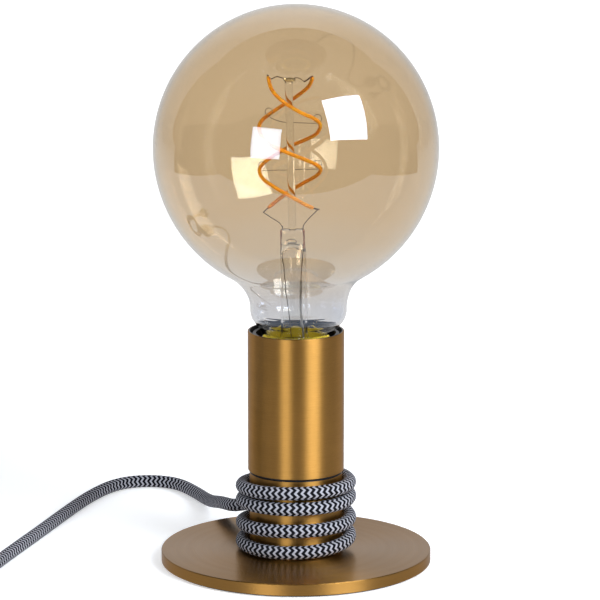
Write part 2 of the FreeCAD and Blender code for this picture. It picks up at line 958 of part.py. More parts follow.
def glass_stem():
    """The flare tube that rises from the neck, closed by the flattened pinch at its top."""
    low = bulb_low.value + mm("cap_high") - 7.0
    pinch_low = bulb_low.value + mm("pinch_low")
    pinch_top = bulb_low.value + mm("pinch_high")
    radius = mm("flare_radius")
    wall = 0.8
    stub = mm("cap_radius") - mm("cap_wall") - mm("free_gap") - mm("glass_wall") + lean / 3
    tube_part = revolved_wire(
        [
            (stub - 0.05, low),
            (stub - 0.05, low + wall),
            (radius + 1.5, low + 4.0),
            (radius, low + 8.0),
            (radius - 0.5, pinch_low),
            (radius - 0.5 - wall, pinch_low),
            (radius - wall, low + 8.0),
            (radius + 1.5 - wall, low + 3.4),
            (stub - 1.4, low),
        ]
    )
    low_ring = Part.Wire(Part.makeCircle(radius - 0.5, V(0, 0, pinch_low)))
    half_wide = mm("pinch_wide") / 2
    half_thick = mm("pinch_thick") / 2
    flat = Part.Ellipse(V(0, 0, pinch_low + 4.5), half_wide, half_thick)
    top = Part.Ellipse(V(0, 0, pinch_top), half_wide - 0.4, half_thick - 0.5)
    pinch = Part.makeLoft([low_ring, Part.Wire(flat.toShape()), Part.Wire(top.toShape())], True)
    solid = tube_part.fuse(pinch)
    solid.Placement = FreeCAD.Placement(V(lean / 3, 0, 0), FreeCAD.Rotation())
    return solid_feature("glass_stem", solid.Solids[0])


def support_rod():
    """The glass rod that carries the filaments."""
    low = bulb_low.value + mm("pinch_high")
    top = bulb_low.value + mm("helix_top") - 2.6
    rod = Part.makeCylinder(mm("rod_radius"), top - low, V(lean, 0, low))
    return solid_feature("support_rod", rod)


def rod_bead():
    """The flattened glass bead on top of the rod that holds the upper wires."""
    low = bulb_low.value + mm("helix_top") - 2.6
    radius = mm("bead_radius")
    thick = mm("bead_thick")
    bevel = radius - 0.6
    middle = low + thick / 2
    top = low + thick
    profile = [(0, low), (bevel, low), (radius, middle), (bevel, top), (0, top)]
    bead = revolved_wire(profile, V(lean, 0, 0))
    return solid_feature("rod_bead", bead)


def on_helix(height, start, radius=None):
    """A point of a filament at a height; going down it crosses the front from left to right."""
    across = radius or mm("helix_radius")
    turned_by = (mm("helix_left") - height) / mm("half_pitch") * 180.0
    angle = math.radians(start + turned_by)
    return (lean + across * math.cos(angle), across * math.sin(angle), bulb_low.value + height)


def filament(label, start):
    """One spiral filament, as runs and arcs that touch the helix."""
    top, low = mm("helix_top"), mm("helix_low")
    count = 14
    step = (top - low) / count
    turn = math.radians(step / mm("half_pitch") * 180.0)
    outside = mm("helix_radius") / math.cos(turn / 2)
    ends = mm("helix_radius") - 1.4
    points = [on_helix(top, start, ends)]
    points += [on_helix(top - step * n, start, outside) for n in range(1, count)]
    points += [on_helix(low, start, ends)]
    solid, length, _ = tube(points, mm("filament_radius"))
    print(f"{label} {length:.0f} mm long")
    return solid_feature(label, solid)


def filament_wires():
    """Wires from the bead to the filaments' tops and from the pinch to their lower ends."""
    wires = []
    bead = bulb_low.value + mm("helix_top") - 2.0
    pinch_top = bulb_low.value + mm("pinch_high")
    ends = mm("helix_radius") - 1.4
    for start, side in ((180.0, -1), (0.0, 1)):
        tip = V(*on_helix(mm("helix_top"), start, ends))
        root = V(lean + side * (mm("bead_radius") + 0.05), 0.0, bead)
        middle = (tip + root) / 2 + V(0, 0, 1.6)
        wires.append(tube([tuple(root), tuple(middle), tuple(tip)], mm("wire_radius"))[0])
        low_tip = V(*on_helix(mm("helix_low"), start, ends))
        hand = 1 if low_tip.x > lean else -1
        foot = V(lean / 3 + hand * 4.2, 0.0, pinch_top + 0.05)
        knee = V(foot.x + hand * 1.0, 0.0, pinch_top + 3.6)
        wires.append(tube([tuple(foot), tuple(knee), tuple(low_tip)], mm("lead_radius"))[0])
    return solid_feature("filament_wires", Part.makeCompound(wires))


def hook_wires():
    """Thin wires through the rod that steady the filaments at mid height."""
    wires = []
    for height in (mm("hook_high"), mm("hook_low")):
        level = bulb_low.value + height
        for side in (-1, 1):
            root = V(lean + side * (mm("rod_radius") + 0.02), 0, level)
            out = V(lean + side * (mm("helix_radius") - mm("filament_radius") - 0.35), 0, level + 1.2)
            bend = (root + out) / 2 + V(0, 0, -0.5)
            wires.append(tube([tuple(root), tuple(bend), tuple(out)], mm("wire_radius"))[0])
    return solid_feature("hook_wires", Part.makeCompound(wires))


def seal_leads():
    """The two leads inside the flare tube, from the driver up to the pinch."""
    low = cap_low.value + 13.0
    top = bulb_low.value + mm("pinch_low") - 0.5
    leads = []
    for side in (-1, 1):
        points = [
            (lean / 3 + side * 1.8, 0.4, low),
            (lean / 3 + side * 2.2, 0.0, low + 12.0),
            (lean / 3 + side * 3.9, 0.2, top - 12.0),
            (lean / 3 + side * 3.7, 0.0, top),
        ]
        leads.append(tube(points, mm("lead_radius"))[0])
    return solid_feature("seal_leads", Part.makeCompound(leads))


def driver_board():
    """The small driver inside the cap: a board with a rectifier, a capacitor and a resistor."""
    low = cap_low.value + 2.2
    board = Part.makeBox(15.0, 1.0, 10.5, V(-7.5, -0.5, low))
    capacitor = Part.makeCylinder(2.4, 6.0, V(-3.2, 2.89, low + 1.5))
    rectifier = Part.makeBox(4.6, 1.9, 4.2, V(1.2, 0.49, low + 2.0))
    resistor = Part.makeCylinder(0.9, 5.6, V(-2.8, -1.38, low + 6.0), X_AXIS)
    solid = board.fuse([capacitor, rectifier, resistor])
    return solid_feature("driver_board", solid.Solids[0])


# ---- cord ----
def cord_winding():
    """The wound cord's outer shape: a sleeve round the stem with a lobe for each turn."""
    radius = cord_radius.value
    middle = stem_outer.value + mm("turn_gap") + radius
    inner = stem_outer.value + mm("free_gap")
    lowest = base_top.value + radius + mm("turn_lift")
    levels = [lowest, mm("turn_two"), mm("turn_three"), mm("turn_four")]
    sleeve = Part.makeCylinder(middle + 0.4, levels[-1] - levels[0], V(0, 0, levels[0]))
    rings = [Part.makeTorus(middle, radius, V(0, 0, level)) for level in levels]
    solid = sleeve.fuse(rings)
    bore = Part.makeCylinder(inner, stem_top.value)
    return solid_feature("cord_winding", solid.cut(bore).Solids[0])


def cord_lead():
    """The free lead from the winding over the disc and along the table to the switch."""
    solid, length, radii = tube(LEAD_ROUTE, cord_radius.value)
    print(f"cord_lead {length:.0f} mm long, radii {', '.join(f'{r:.0f}' for r in radii)}")
    return solid_feature("cord_lead", solid)


def cord_tail():
    """The short stretch from the switch to the coil."""
    start = mm("switch_y") + mm("switch_long") / 2
    outer = mm("coil_radius") + mm("cord_diameter")
    offset = mm("switch_x") - mm("coil_x")
    reach = mm("coil_y") - math.sqrt(outer**2 - offset**2) + 1.0
    base = V(mm("switch_x"), start, cord_axis.value)
    solid = Part.makeCylinder(cord_radius.value, reach - start, base, Y_AXIS)
    print(f"cord_tail {reach - start:.0f} mm long")
    return solid_feature("cord_tail", solid)


def cord_coil():
    """The put-away cord's outer shape: a ring two turns wide and two turns high."""
    width = size("cord_diameter")
    inner = size("coil_radius") - width
    outer = size("coil_radius") + width
    body = turned("cord_coil", [(inner, 0), (outer, 0), (outer, width * 2), (inner, width * 2)])
    for radius in (inner, outer):
        for height in (0, width * 2):
            dressed(body, "Fillet", width * 0.4, ring_at(radius, height))
    body.Placement = FreeCAD.Placement(V(mm("coil_x"), mm("coil_y"), 0), FreeCAD.Rotation())
    return body


def plug_axis_x():
    """The plug lies along the line on which the coil's outer turn leaves."""
    return mm("coil_x") - mm("coil_radius") - cord_radius.value


def cord_end():
    """The last stretch from the coil to the plug's strain relief."""
    x = plug_axis_x()
    outer = mm("coil_radius") + mm("cord_diameter")
    offset = mm("coil_x") - x
    start = mm("coil_y") - math.sqrt(outer**2 - offset**2) + 1.0
    stop = mm("plug_y") + mm("relief_long")
    high = mm("plug_high") / 2
    low = cord_radius.value
    points = [
        (x, start, low),
        (x, start - 9.0, low),
        (x, start - 19.0, low + 1.2),
        (x, stop + 8.0, high),
        (x, stop, high),
    ]
    solid, length, radii = tube(points, cord_radius.value)
    print(f"cord_end {length:.0f} mm long, radii {', '.join(f'{r:.0f}' for r in radii)}")
    return solid_feature("cord_end", solid)


# ---- switch ----
def switch_outline(inset):
    """The switch's plan: long sides that taper to its two ends."""
    half_long = size("switch_long") / 2 - inset
    half_wide = size("switch_wide") / 2 - inset
    half_end = size("switch_end") / 2 - inset * 0.5
    shoulder = half_long - size("switch_taper")
    return [
        (-half_end, -half_long),
        (half_end, -half_long),
        (half_wide, -shoulder),
        (half_wide, shoulder),
        (half_end, half_long),
        (-half_end, half_long),
        (-half_wide, shoulder),
        (-half_wide, -shoulder),
    ]


def switch_place():
    """Where the switch stands on the table."""
    return FreeCAD.Placement(V(mm("switch_x"), mm("switch_y"), 0), FreeCAD.Rotation())


def upright(edge):
    """Picks straight edges along Z."""
    return isinstance(edge.Curve, Part.Line) and abs(edge.tangentAt(edge.FirstParameter).z) > 0.99


def level_at(height):
    """Picks edges that lie at a height."""

    def chosen(edge):
        box = edge.BoundBox
        return abs(box.ZMin - float(height)) < 0.01 and abs(box.ZMax - float(height)) < 0.01

    return chosen


def switch_base():
    """The switch's lower shell."""
    wall = size("switch_wall")
    body = padded("switch_base", switch_outline(0), 0, cord_axis)
    dressed(body, "Fillet", 3.5, upright)
    dressed(body, "Fillet", 1.6, level_at(0))
    drawn = new_sketch(body, "switch_base_hollow", "XY_Plane", cord_axis)
    outline(drawn, switch_outline(wall * 1.4))
    pocket(body, "switch_base_cut", drawn, cord_axis - wall)
    body.Placement = switch_place()
    return body


def switch_cover():
    """The switch's upper shell with the rocker's opening."""
    wall = size("switch_wall")
    top = cord_axis + size("cover_high")
    body = padded("switch_cover", switch_outline(0), cord_axis, top)
    dressed(body, "Fillet", 3.5, upright)
    dressed(body, "Fillet", 2.4, level_at(top))
    hollow = new_sketch(body, "switch_cover_hollow", "XY_Plane", cord_axis)
    outline(hollow, switch_outline(wall * 1.4))
    pocket(body, "switch_cover_cut", hollow, size("cover_high") - wall, back=True)
    window = new_sketch(body, "switch_cover_window", "XY_Plane", top)
    half_long = size("rocker_long") / 2
    half_wide = size("rocker_wide") / 2
    corners = [
        (-half_wide, -half_long),
        (half_wide, -half_long),
        (half_wide, half_long),
        (-half_wide, half_long),
    ]
    outline(window, corners)
    pocket(body, "switch_cover_opened", window, wall * 2)
    body.Placement = switch_place()
    return body


def rocker_pivot():
    """The pin's height above the table."""
    return cord_axis.value + mm("cover_high") - mm("rocker_deep") + 0.9


def switch_rocker():
    """The rocker: two faces that meet in a shallow valley, rounded below, bored for its pin."""
    gap = mm("rocker_gap")
    half = mm("rocker_long") / 2 - gap - 0.6
    wide = mm("rocker_wide") - gap * 2
    high = mm("rocker_deep")
    dip = half * math.tan(math.radians(mm("rocker_tilt")))
    top = high - 0.9 + 0.4
    corners = [
        (-half, top + dip - 0.2),
        (0, top),
        (half, top + dip - 0.2),
        (half + 0.25, 0.6),
        (half * 0.55, -1.8),
        (-half * 0.55, -1.8),
        (-half - 0.25, 0.6),
    ]
    points = [V(-wide / 2, y, z) for y, z in corners]
    blank = Part.Face(Part.makePolygon(points + points[:1])).extrude(V(wide, 0, 0))
    bore_radius = mm("pin_radius") + mm("close_fit")
    bore = Part.makeCylinder(bore_radius, wide + 2, V(-wide / 2 - 1, 0, 0), X_AXIS)
    solid = blank.cut(bore)
    solid.rotate(ORIGIN, X_AXIS, mm("rocker_tilt"))
    solid.translate(V(mm("switch_x"), mm("switch_y"), rocker_pivot()))
    return solid_feature("switch_rocker", solid)


def rocker_pin():
    """The rocker's pin, held by a post at each end."""
    half = mm("rocker_wide") / 2 + 2.2
    base = V(mm("switch_x") - half, mm("switch_y"), rocker_pivot())
    pin = Part.makeCylinder(mm("pin_radius"), half * 2, base, X_AXIS)
    return solid_feature("rocker_pin", pin)


def pin_posts():
    """Two posts that stand in the base and hold the pin's ends."""
    posts = []
    inner = mm("rocker_wide") / 2 + 0.1
    thick, long = 2.4, 5.0
    floor = mm("switch_wall")
    middle = mm("switch_y")
    for side in (-1, 1):
        x = mm("switch_x") + (inner if side > 0 else -inner - thick)
        high = rocker_pivot() + thick - floor
        post = Part.makeBox(thick, long, high, V(x, middle - long / 2, floor))
        base = V(x - 0.5, middle, rocker_pivot())
        bore = Part.makeCylinder(mm("pin_radius") + mm("close_fit"), thick + 1, base, X_AXIS)
        posts.append(post.cut(bore))
    return solid_feature("pin_posts", Part.makeCompound(posts))


def switch_contacts():
    """The fixed contact strips on the base's floor."""
    strips = []
    floor = mm("switch_wall")
    for side in (-1, 1):
        y = mm("switch_y") + side * 13.0
        strip = Part.makeBox(4.0, 9.0, 0.8, V(mm("switch_x") - 2.0, y - 4.5, floor))
        post = Part.makeBox(4.0, 3.0, 4.4, V(mm("switch_x") - 2.0, y - side * 3.0 - 1.5, floor))
        strips.append(strip.fuse(post).removeSplitter())
    return solid_feature("switch_contacts", Part.makeCompound([s.Solids[0] for s in strips]))


# ---- plug ----
def plug_outline():
    """The flat plug's plan: a wide front, waisted sides and a narrow back."""
    half = size("plug_wide") / 2
    back = size("plug_back") / 2
    long = size("plug_long")
    return [
        (-back, 0),
        (-back - 1.5, -long * 0.22),
        (-half, -long * 0.55),
        (-half + 1.0, -long),
        (half - 1.0, -long),
        (half, -long * 0.55),
        (back + 1.5, -long * 0.22),
        (back, 0),
    ]


def plug_body():
    """The flat two-pin plug's moulded body."""
    body = padded("plug_body", plug_outline(), 0, size("plug_high"))
    dressed(body, "Fillet", 2.4, upright)
    dressed(body, "Fillet", 2.2, lambda e: level_at(0)(e) or level_at(mm("plug_high"))(e))
    body.Placement = FreeCAD.Placement(V(plug_axis_x(), mm("plug_y"), 0), FreeCAD.Rotation())
    return body


def plug_pins():
    """The plug's two round pins with domed ends."""
    radius = mm("prong_radius")
    long = mm("prong_long")
    profile = [(0, 0), (radius, 0), (radius, long - 1.2), (radius - 0.9, long), (0, long)]
    front = mm("plug_y") - mm("plug_long")
    pins = []
    for side in (-1, 1):
        base = V(plug_axis_x() + side * mm("prong_apart") / 2, front, mm("plug_high") / 2)
        pins.append(revolved_wire(profile, base, -Y_AXIS))
    return solid_feature("plug_pins", Part.makeCompound(pins))


def plug_relief():
    """The tapered, ribbed strain relief behind the plug."""
    thick = mm("relief_radius")
    thin = mm("relief_tip")
    long = mm("relief_long")
    ribs = 6
    points = [(0, 0), (thick, 0)]
    for n in range(ribs):
        low = 3.0 + n * (long - 5.0) / ribs
        high = low + (long - 5.0) / ribs
        here = thick + (thin - thick) * low / long
        there = thick + (thin - thick) * high / long
        points += [(here, low), (here - 0.7, low + 0.6), (there - 0.5, high - 1.4), (there, high - 0.8)]
    points += [(thin, long), (0, long)]
    base = V(plug_axis_x(), mm("plug_y"), mm("plug_high") / 2)
    return solid_feature("plug_relief", revolved_wire(points, base, Y_AXIS))


def build():
    """Makes every sub-part."""
    gap_outer = stem_outer - size("cup_gap_inset")
    washer_low = plate_low - size("washer_thick")
    return [
        base_plate(),
        base_pad(),
        stem_tube(),
        stem_foot(),
        stem_screws(),
        cord_bush(),
        cord_clamp(),
        inner_cord(),
        nipple(),
        nipple_nut(),
        flat_ring("lock_washer", passage, size("washer_radius"), washer_low, plate_low),
        flat_ring("cup_washer", passage, gap_outer, stem_top, cup_low),
        lamp_cup(),
        holder_dome(),
        holder_grub(),
        holder_skirt(),
        holder_core(),
        thread_shell(),
        centre_contact(),
        side_contact(),
        terminals(),
        terminal_screws(),
        wiring("lead_live", -1),
        wiring("lead_neutral", 1),
        bulb_globe(),
        bulb_cap(),
        bulb_cement(),
        bulb_insulator(),
        bulb_tip(),
        glass_stem(),
        support_rod(),
        rod_bead(),
        filament("filament_left", 180.0),
        filament("filament_right", 0.0),
        filament_wires(),
        hook_wires(),
        seal_leads(),
        driver_board(),
        cord_winding(),
        cord_lead(),
        cord_tail(),
        cord_coil(),
        cord_end(),
        switch_base(),
        switch_cover(),
        switch_rocker(),
        rocker_pin(),
        pin_posts(),
        switch_contacts(),
        plug_body(),
        plug_pins(),
        plug_relief(),
    ]


def check(pieces):
    """Stops at a failed object or a bad shape."""
    for item in doc.Objects:
        if "Invalid" in item.State or "Error" in item.State:
            raise RuntimeError(f"{item.Label} failed")
    for piece in pieces:
        if piece.Shape.isNull() or not piece.Shape.isValid():
            raise RuntimeError(f"{piece.Label} has no good shape")


parts = build()
doc.recompute()
check(parts)
os.makedirs("parts", exist_ok=True)
for part in parts:
    part.Shape.exportStep(f"parts/{part.Label}.step")
print(f"{len(parts)} nodes")
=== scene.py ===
import math

import bpy
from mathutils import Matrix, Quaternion, Vector


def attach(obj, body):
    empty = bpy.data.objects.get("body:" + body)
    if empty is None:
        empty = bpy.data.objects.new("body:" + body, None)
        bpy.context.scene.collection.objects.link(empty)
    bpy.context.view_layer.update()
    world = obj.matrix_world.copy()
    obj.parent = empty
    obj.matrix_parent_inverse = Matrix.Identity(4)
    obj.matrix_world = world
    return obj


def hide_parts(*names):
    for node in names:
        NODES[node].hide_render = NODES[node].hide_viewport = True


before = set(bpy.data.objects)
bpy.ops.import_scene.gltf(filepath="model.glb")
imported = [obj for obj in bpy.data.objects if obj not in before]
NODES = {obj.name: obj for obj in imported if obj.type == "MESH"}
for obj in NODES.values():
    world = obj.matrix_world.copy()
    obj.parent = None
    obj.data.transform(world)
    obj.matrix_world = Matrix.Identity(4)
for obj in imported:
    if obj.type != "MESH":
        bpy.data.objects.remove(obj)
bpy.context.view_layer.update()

MM = 0.001


# ---- camera, as fitted to the photo ----
CAMERA_AT = (0.0, -1.46646, 0.41222)
LOOKS_DOWN = 11.330
LENS = 203.996
SENSOR = 36.0
SHIFT = 0.00676
CLIP = (0.05, 20.0)


def add_camera():
    data = bpy.data.cameras.new("camera")
    data.sensor_width = SENSOR
    data.lens = LENS
    data.shift_x = SHIFT
    data.clip_start, data.clip_end = CLIP
    camera = bpy.data.objects.new("camera", data)
    camera.location = CAMERA_AT
    camera.rotation_euler = (math.radians(90.0 - LOOKS_DOWN), 0.0, 0.0)
    bpy.context.scene.collection.objects.link(camera)
    bpy.context.scene.camera = camera


add_camera()


# ---- meshes ----
def new_object(name, verts, faces, uvs=None):
    """A smooth mesh object from points and faces; uvs gives (u, v) for each corner of each face."""
    mesh = bpy.data.meshes.new(name)
    mesh.from_pydata(verts, [], faces)
    mesh.update()
    if uvs is not None:
        layer = mesh.uv_layers.new(name="UVMap")
        flat = [c for corner in uvs for c in corner]
        layer.data.foreach_set("uv", flat)
    mesh.polygons.foreach_set("use_smooth", [True] * len(mesh.polygons))
    obj = bpy.data.objects.new(name, mesh)
    bpy.context.scene.collection.objects.link(obj)
    return obj


def frames_along(points):
    """Two normals of the line at each point, carried along without twist."""
    tangents = []
    for i in range(len(points)):
        a = points[max(i - 1, 0)]
        b = points[min(i + 1, len(points) - 1)]
        tangents.append((b - a).normalized())
    side = tangents[0].orthogonal().normalized()
    made = []
    for tangent in tangents:
        side = (side - tangent * side.dot(tangent)).normalized()
        made.append((side, tangent.cross(side)))
    return made


def rings(count, sides, closed=False):
    """Faces that join rings of points, one after another; closed joins the last to the first."""
    faces = []
    for i in range(count if closed else count - 1):
        j = (i + 1) % count
        for k in range(sides):
            n = (k + 1) % sides
            faces.append((i * sides + k, i * sides + n, j * sides + n, j * sides + k))
    return faces


def rod(points, radius, sides, flat=1.0):
    """A capped rod along points, as points and faces.

    The radius is one number or a list with one for each point; flat squashes the rod sideways."""
    verts = []
    for i, (point, (side, up)) in enumerate(zip(points, frames_along(points))):
        r = radius[i] if isinstance(radius, list) else radius
        for k in range(sides):
            a = 2 * math.pi * k / sides
            verts.append(point + side * (r * math.cos(a) * flat) + up * (r * math.sin(a)))
    faces = rings(len(points), sides)
    faces.append(tuple(reversed(range(sides))))
    last = (len(points) - 1) * sides
    faces.append(tuple(range(last, last + sides)))
    return verts, faces


def ball(centre, radii, sides=32, rows=16):
    """An ellipsoid as points and faces, in metres."""
    verts = []
    for i in range(1, rows):
        b = math.pi * i / rows
        for k in range(sides):
            a = 2 * math.pi * k / sides
            out = Vector((math.sin(b) * math.cos(a), math.sin(b) * math.sin(a), -math.cos(b)))
            verts.append(Vector(centre) + Vector([out[j] * radii[j] for j in range(3)]))
    faces = rings(rows - 1, sides)
    bottom, top = len(verts), len(verts) + 1
    pole = Vector((0, 0, radii[2]))
    verts += [Vector(centre) - pole, Vector(centre) + pole]
    last = (rows - 2) * sides
    for k in range(sides):
        n = (k + 1) % sides
        faces.append((bottom, n, k))
        faces.append((top, last + k, last + n))
    return verts, faces


def merged(name, shapes):
    """One object from several shapes of points and faces."""
    verts, faces = [], []
    for more, joins in shapes:
        start = len(verts)
        verts += more
        faces += [tuple(v + start for v in face) for face in joins]
    return new_object(name, verts, faces)


# ---- the cord's line, in millimetres ----
CORD_RADIUS = 2.9
SLOT = [(6.6, 16.9, 9.4), (4.1, 19.5, 9.6), (0.6, 22.6, 9.3)]
# The winding: its line's distance from the axis, and its height at every quarter turn.
STEM_TURN = 23.9
TURN_HEIGHTS = [9.0, 9.4, 9.8, 11.8, 15.0, 17.9, 19.6, 20.0]
TURN_HEIGHTS += [24.1, 28.3, 29.6, 29.9, 32.3, 34.6, 36.7, 36.4]
PER_TURN = 24
# The spline cuts the corners of its control points, so those of a circle stand out by this.
POLYGON = 1 / 0.9914
LEAD = [
    (16.9, 16.9, 36.4),
    (7.5, 26.5, 35.6),
    (-4.5, 34.0, 29.0),
    (-16.5, 36.0, 18.0),
    (-28.0, 43.0, 13.4),
    (-34.5, 62.0, 10.4),
    (-40.5, 86.0, 4.4),
    (-47.0, 107.0, 2.9),
    (-55.5, 124.0, 2.9),
    (-66.0, 130.6, 2.9),
    (-78.3, 130.0, 2.9),
    (-88.3, 122.0, 2.9),
    (-97.4, 103.0, 2.9),
    (-105.9, 76.4, 2.9),
    (-116.5, 39.0, 2.9),
    (-130.5, -8.0, 2.9),
    (-137.5, -34.0, 2.9),
    (-150.5, -51.0, 2.9),
    (-168.5, -56.5, 2.9),
    (-184.5, -48.5, 3.4),
    (-192.1, -32.0, 7.6),
    (-192.1, -21.0, 8.7),
    (-192.1, -9.0, 8.7),
]
THROUGH_SWITCH = [(-192.1, y, 8.7) for y in (10.0, 34.0, 54.0, 70.0)]
# The put-away coil: its centre, the distances of its turns from it, and the heights of its layers.
COIL = (-227.0, 88.0)
COIL_WIDE, COIL_TIGHT = 34.9, 29.1
COIL_HIGH, COIL_LOW = 8.7, 2.9
COIL_TURNS = 3.5
TO_PLUG = [
    (-261.9, 76.0, 2.9),
    (-261.9, 66.0, 2.9),
    (-261.9, 56.0, 4.0),
    (-261.9, 45.0, 6.7),
    (-261.9, 34.0, 6.85),
    (-261.9, 20.0, 6.85),
]


def eased(values, at):
    """A value between the listed ones, eased so that it runs smoothly through them."""
    i = min(int(at), len(values) - 2)
    t = at - i
    before = values[max(i - 1, 0)]
    a, b = values[i], values[i + 1]
    after = values[min(i + 2, len(values) - 1)]
    slope_a, slope_b = (b - before) / 2, (after - a) / 2
    t2, t3 = t * t, t * t * t
    from_a = (2 * t3 - 3 * t2 + 1) * a + (t3 - 2 * t2 + t) * slope_a
    return from_a + (3 * t2 - 2 * t3) * b + (t3 - t2) * slope_b


def winding_points():
    """The turns round the stem, from just past the slot at the back."""
    made = []
    steps = int((len(TURN_HEIGHTS) - 1) * PER_TURN / 4)
    reach = STEM_TURN * POLYGON
    for n in range(2, steps + 1):
        angle = math.pi / 2 + 2 * math.pi * n / PER_TURN
        height = eased(TURN_HEIGHTS, 4 * n / PER_TURN)
        made.append((reach * math.cos(angle), reach * math.sin(angle), height))
    angle, reach = math.pi / 8, STEM_TURN * 1.01
    made.append((reach * math.cos(angle), reach * math.sin(angle), TURN_HEIGHTS[-1]))
    return made


def coil_points():
    """The put-away turns: wide and then tight ones above, then tight and wide ones below.

    Each mark gives the turn at which the line has that distance and height."""
    marks = [(0, COIL_WIDE, COIL_HIGH), (1.0, COIL_WIDE, COIL_HIGH)]
    marks += [(1.16, COIL_TIGHT, COIL_HIGH), (1.84, COIL_TIGHT, COIL_HIGH)]
    marks += [(2.0, COIL_TIGHT, COIL_LOW), (2.7, COIL_TIGHT, COIL_LOW)]
    marks += [(2.86, COIL_WIDE, COIL_LOW), (COIL_TURNS, COIL_WIDE, COIL_LOW)]
    made = []
    for n in range(int(COIL_TURNS * PER_TURN) + 1):
        turn = n / PER_TURN
        after = next(i for i, m in enumerate(marks) if m[0] >= turn)
        a, b = marks[max(after - 1, 0)], marks[after]
        t = 0 if a is b else (turn - a[0]) / (b[0] - a[0])
        t = t * t * (3 - 2 * t)
        reach = (a[1] + (b[1] - a[1]) * t) * POLYGON
        angle = 2 * math.pi * turn
        x, y = COIL[0] + reach * math.cos(angle), COIL[1] + reach * math.sin(angle)
        made.append((x, y, a[2] + (b[2] - a[2]) * t))
    return made


def cord_line():
    """The points of the cord's spline, in metres, read from its mesh."""
    control = SLOT + winding_points() + LEAD + THROUGH_SWITCH + coil_points() + TO_PLUG
    curve = bpy.data.curves.new("cord_line", "CURVE")
    curve.dimensions = "3D"
    spline = curve.splines.new("NURBS")
    spline.points.add(len(control) - 1)
    for point, (x, y, z) in zip(spline.points, control):
        point.co = (x * MM, y * MM, z * MM, 1.0)
    spline.order_u = 3
    spline.use_endpoint_u = True
    spline.resolution_u = 12
    holder = bpy.data.objects.new("cord_line", curve)
    bpy.context.scene.collection.objects.link(holder)
    bpy.context.view_layer.update()
    evaluated = holder.evaluated_get(bpy.context.evaluated_depsgraph_get())
    mesh = bpy.data.meshes.new_from_object(evaluated)
    points = [v.co.copy() for v in mesh.vertices]
    bpy.data.objects.remove(holder)
    bpy.data.meshes.remove(mesh)
    return points


def even(points, step):
    """Points along the line at an even step, the length up to each, and the whole length."""
    made, lengths = [points[0]], [0.0]
    total, rest = 0.0, step
    for a, b in zip(points, points[1:]):
        run = (b - a).length
        done = 0.0
        while run - done >= rest:
            done += rest
            made.append(a.lerp(b, done / run))
            lengths.append(total + done)
            rest = step
        rest -= run - done
        total += run
    return made, lengths, total


# ---- the braid ----
# Columns of strands round the cord, a stitch's length, the mesh's step along the cord and its
# points round it, the radius in the valleys, and how far the strands stand out of them.
COLUMNS = 12
STITCH = 1.3 * MM
STEP = STITCH / 4
RING = 60
VALLEY = CORD_RADIUS * MM - 0.18 * MM
RELIEF = 0.24 * MM


def stitch_height(along, around):
    """How far a strand stands out, from 0 to 1.

    It is rounded across each stitch, and low where the strand dives at a column's edge."""
    column = math.floor(around)
    across = around - column - 0.5
    lean = 1.0 if column % 2 == 0 else -1.0
    t = along / STITCH + lean * across
    ridge = math.sin(math.pi * (t - math.floor(t)))
    dive = 1.0 - (2 * abs(across)) ** 3
    return (0.25 + 0.75 * math.sqrt(max(ridge, 0.0))) * (0.45 + 0.55 * dive)


def braided_cord():
    """The cord's braid as a tube with a raised stitch for each strand.

    Its UVs count stitches along the cord and columns round it."""
    points, lengths, total = even(cord_line(), STEP)
    verts, uvs = [], []
    for i, (side, up) in enumerate(frames_along(points)):
        for k in range(RING):
            a = 2 * math.pi * k / RING
            r = VALLEY + RELIEF * stitch_height(lengths[i], COLUMNS * k / RING)
            verts.append(points[i] + side * (r * math.cos(a)) + up * (r * math.sin(a)))
    for i in range(len(points) - 1):
        u0, u1 = lengths[i] / STITCH, lengths[i + 1] / STITCH
        for k in range(RING):
            v0, v1 = COLUMNS * k / RING, COLUMNS * (k + 1) / RING
            uvs += [(u0, v0), (u0, v1), (u1, v1), (u1, v0)]
    obj = new_object("cord_braid", verts, rings(len(points), RING), uvs)
    return obj, points, total


cord, cord_points, cord_length = braided_cord()
print(f"cord {cord_length:.4f} m long, {len(cord.data.vertices)} points")


# ---- the bulb's inner parts, their lines in millimetres ----
LEFT_STRAND = [
    (-12.2, 0.0, 217.4),
    (-10.3, -3.5, 211.8),
    (-5.2, -6.2, 206.9),
    (1.8, -6.4, 202.6),
    (8.4, -3.6, 199.1),
    (10.6, 0.0, 195.8),
    (8.8, 3.6, 191.6),
    (4.1, 6.6, 188.6),
    (-2.5, 7.6, 185.6),
    (-9.6, 5.8, 181.8),
    (-14.3, 2.6, 178.7),
    (-15.9, 0.0, 176.2),
    (-14.3, -3.4, 172.9),
    (-8.7, -6.0, 169.3),
    (-1.7, -6.4, 165.3),
    (4.2, -3.8, 161.5),
    (7.6, -2.2, 159.7),
]
RIGHT_STRAND = [
    (7.3, 0.0, 217.0),
    (5.4, 3.5, 212.4),
    (0.0, 6.2, 207.6),
    (-5.2, 6.7, 204.2),
    (-10.5, 5.0, 200.9),
    (-14.6, 2.6, 198.0),
    (-16.0, 0.0, 195.3),
    (-14.8, -3.6, 191.6),
    (-10.0, -7.0, 187.9),
    (-3.5, -7.7, 185.0),
    (3.6, -5.8, 181.9),
    (9.0, -2.4, 178.9),
    (10.8, 0.2, 176.4),
    (9.0, 3.0, 173.3),
    (4.1, 5.8, 170.0),
    (-1.0, 6.6, 166.9),
    (-6.2, 5.6, 163.4),
    (-12.3, 2.3, 159.0),
]
TOP_LEFT_WIRE = [
    (-4.6, 0.0, 216.2),
    (-6.6, 0.0, 216.9),
    (-8.3, 0.0, 217.3),
    (-10.0, 0.0, 216.6),
    (-11.0, 0.0, 216.2),
]
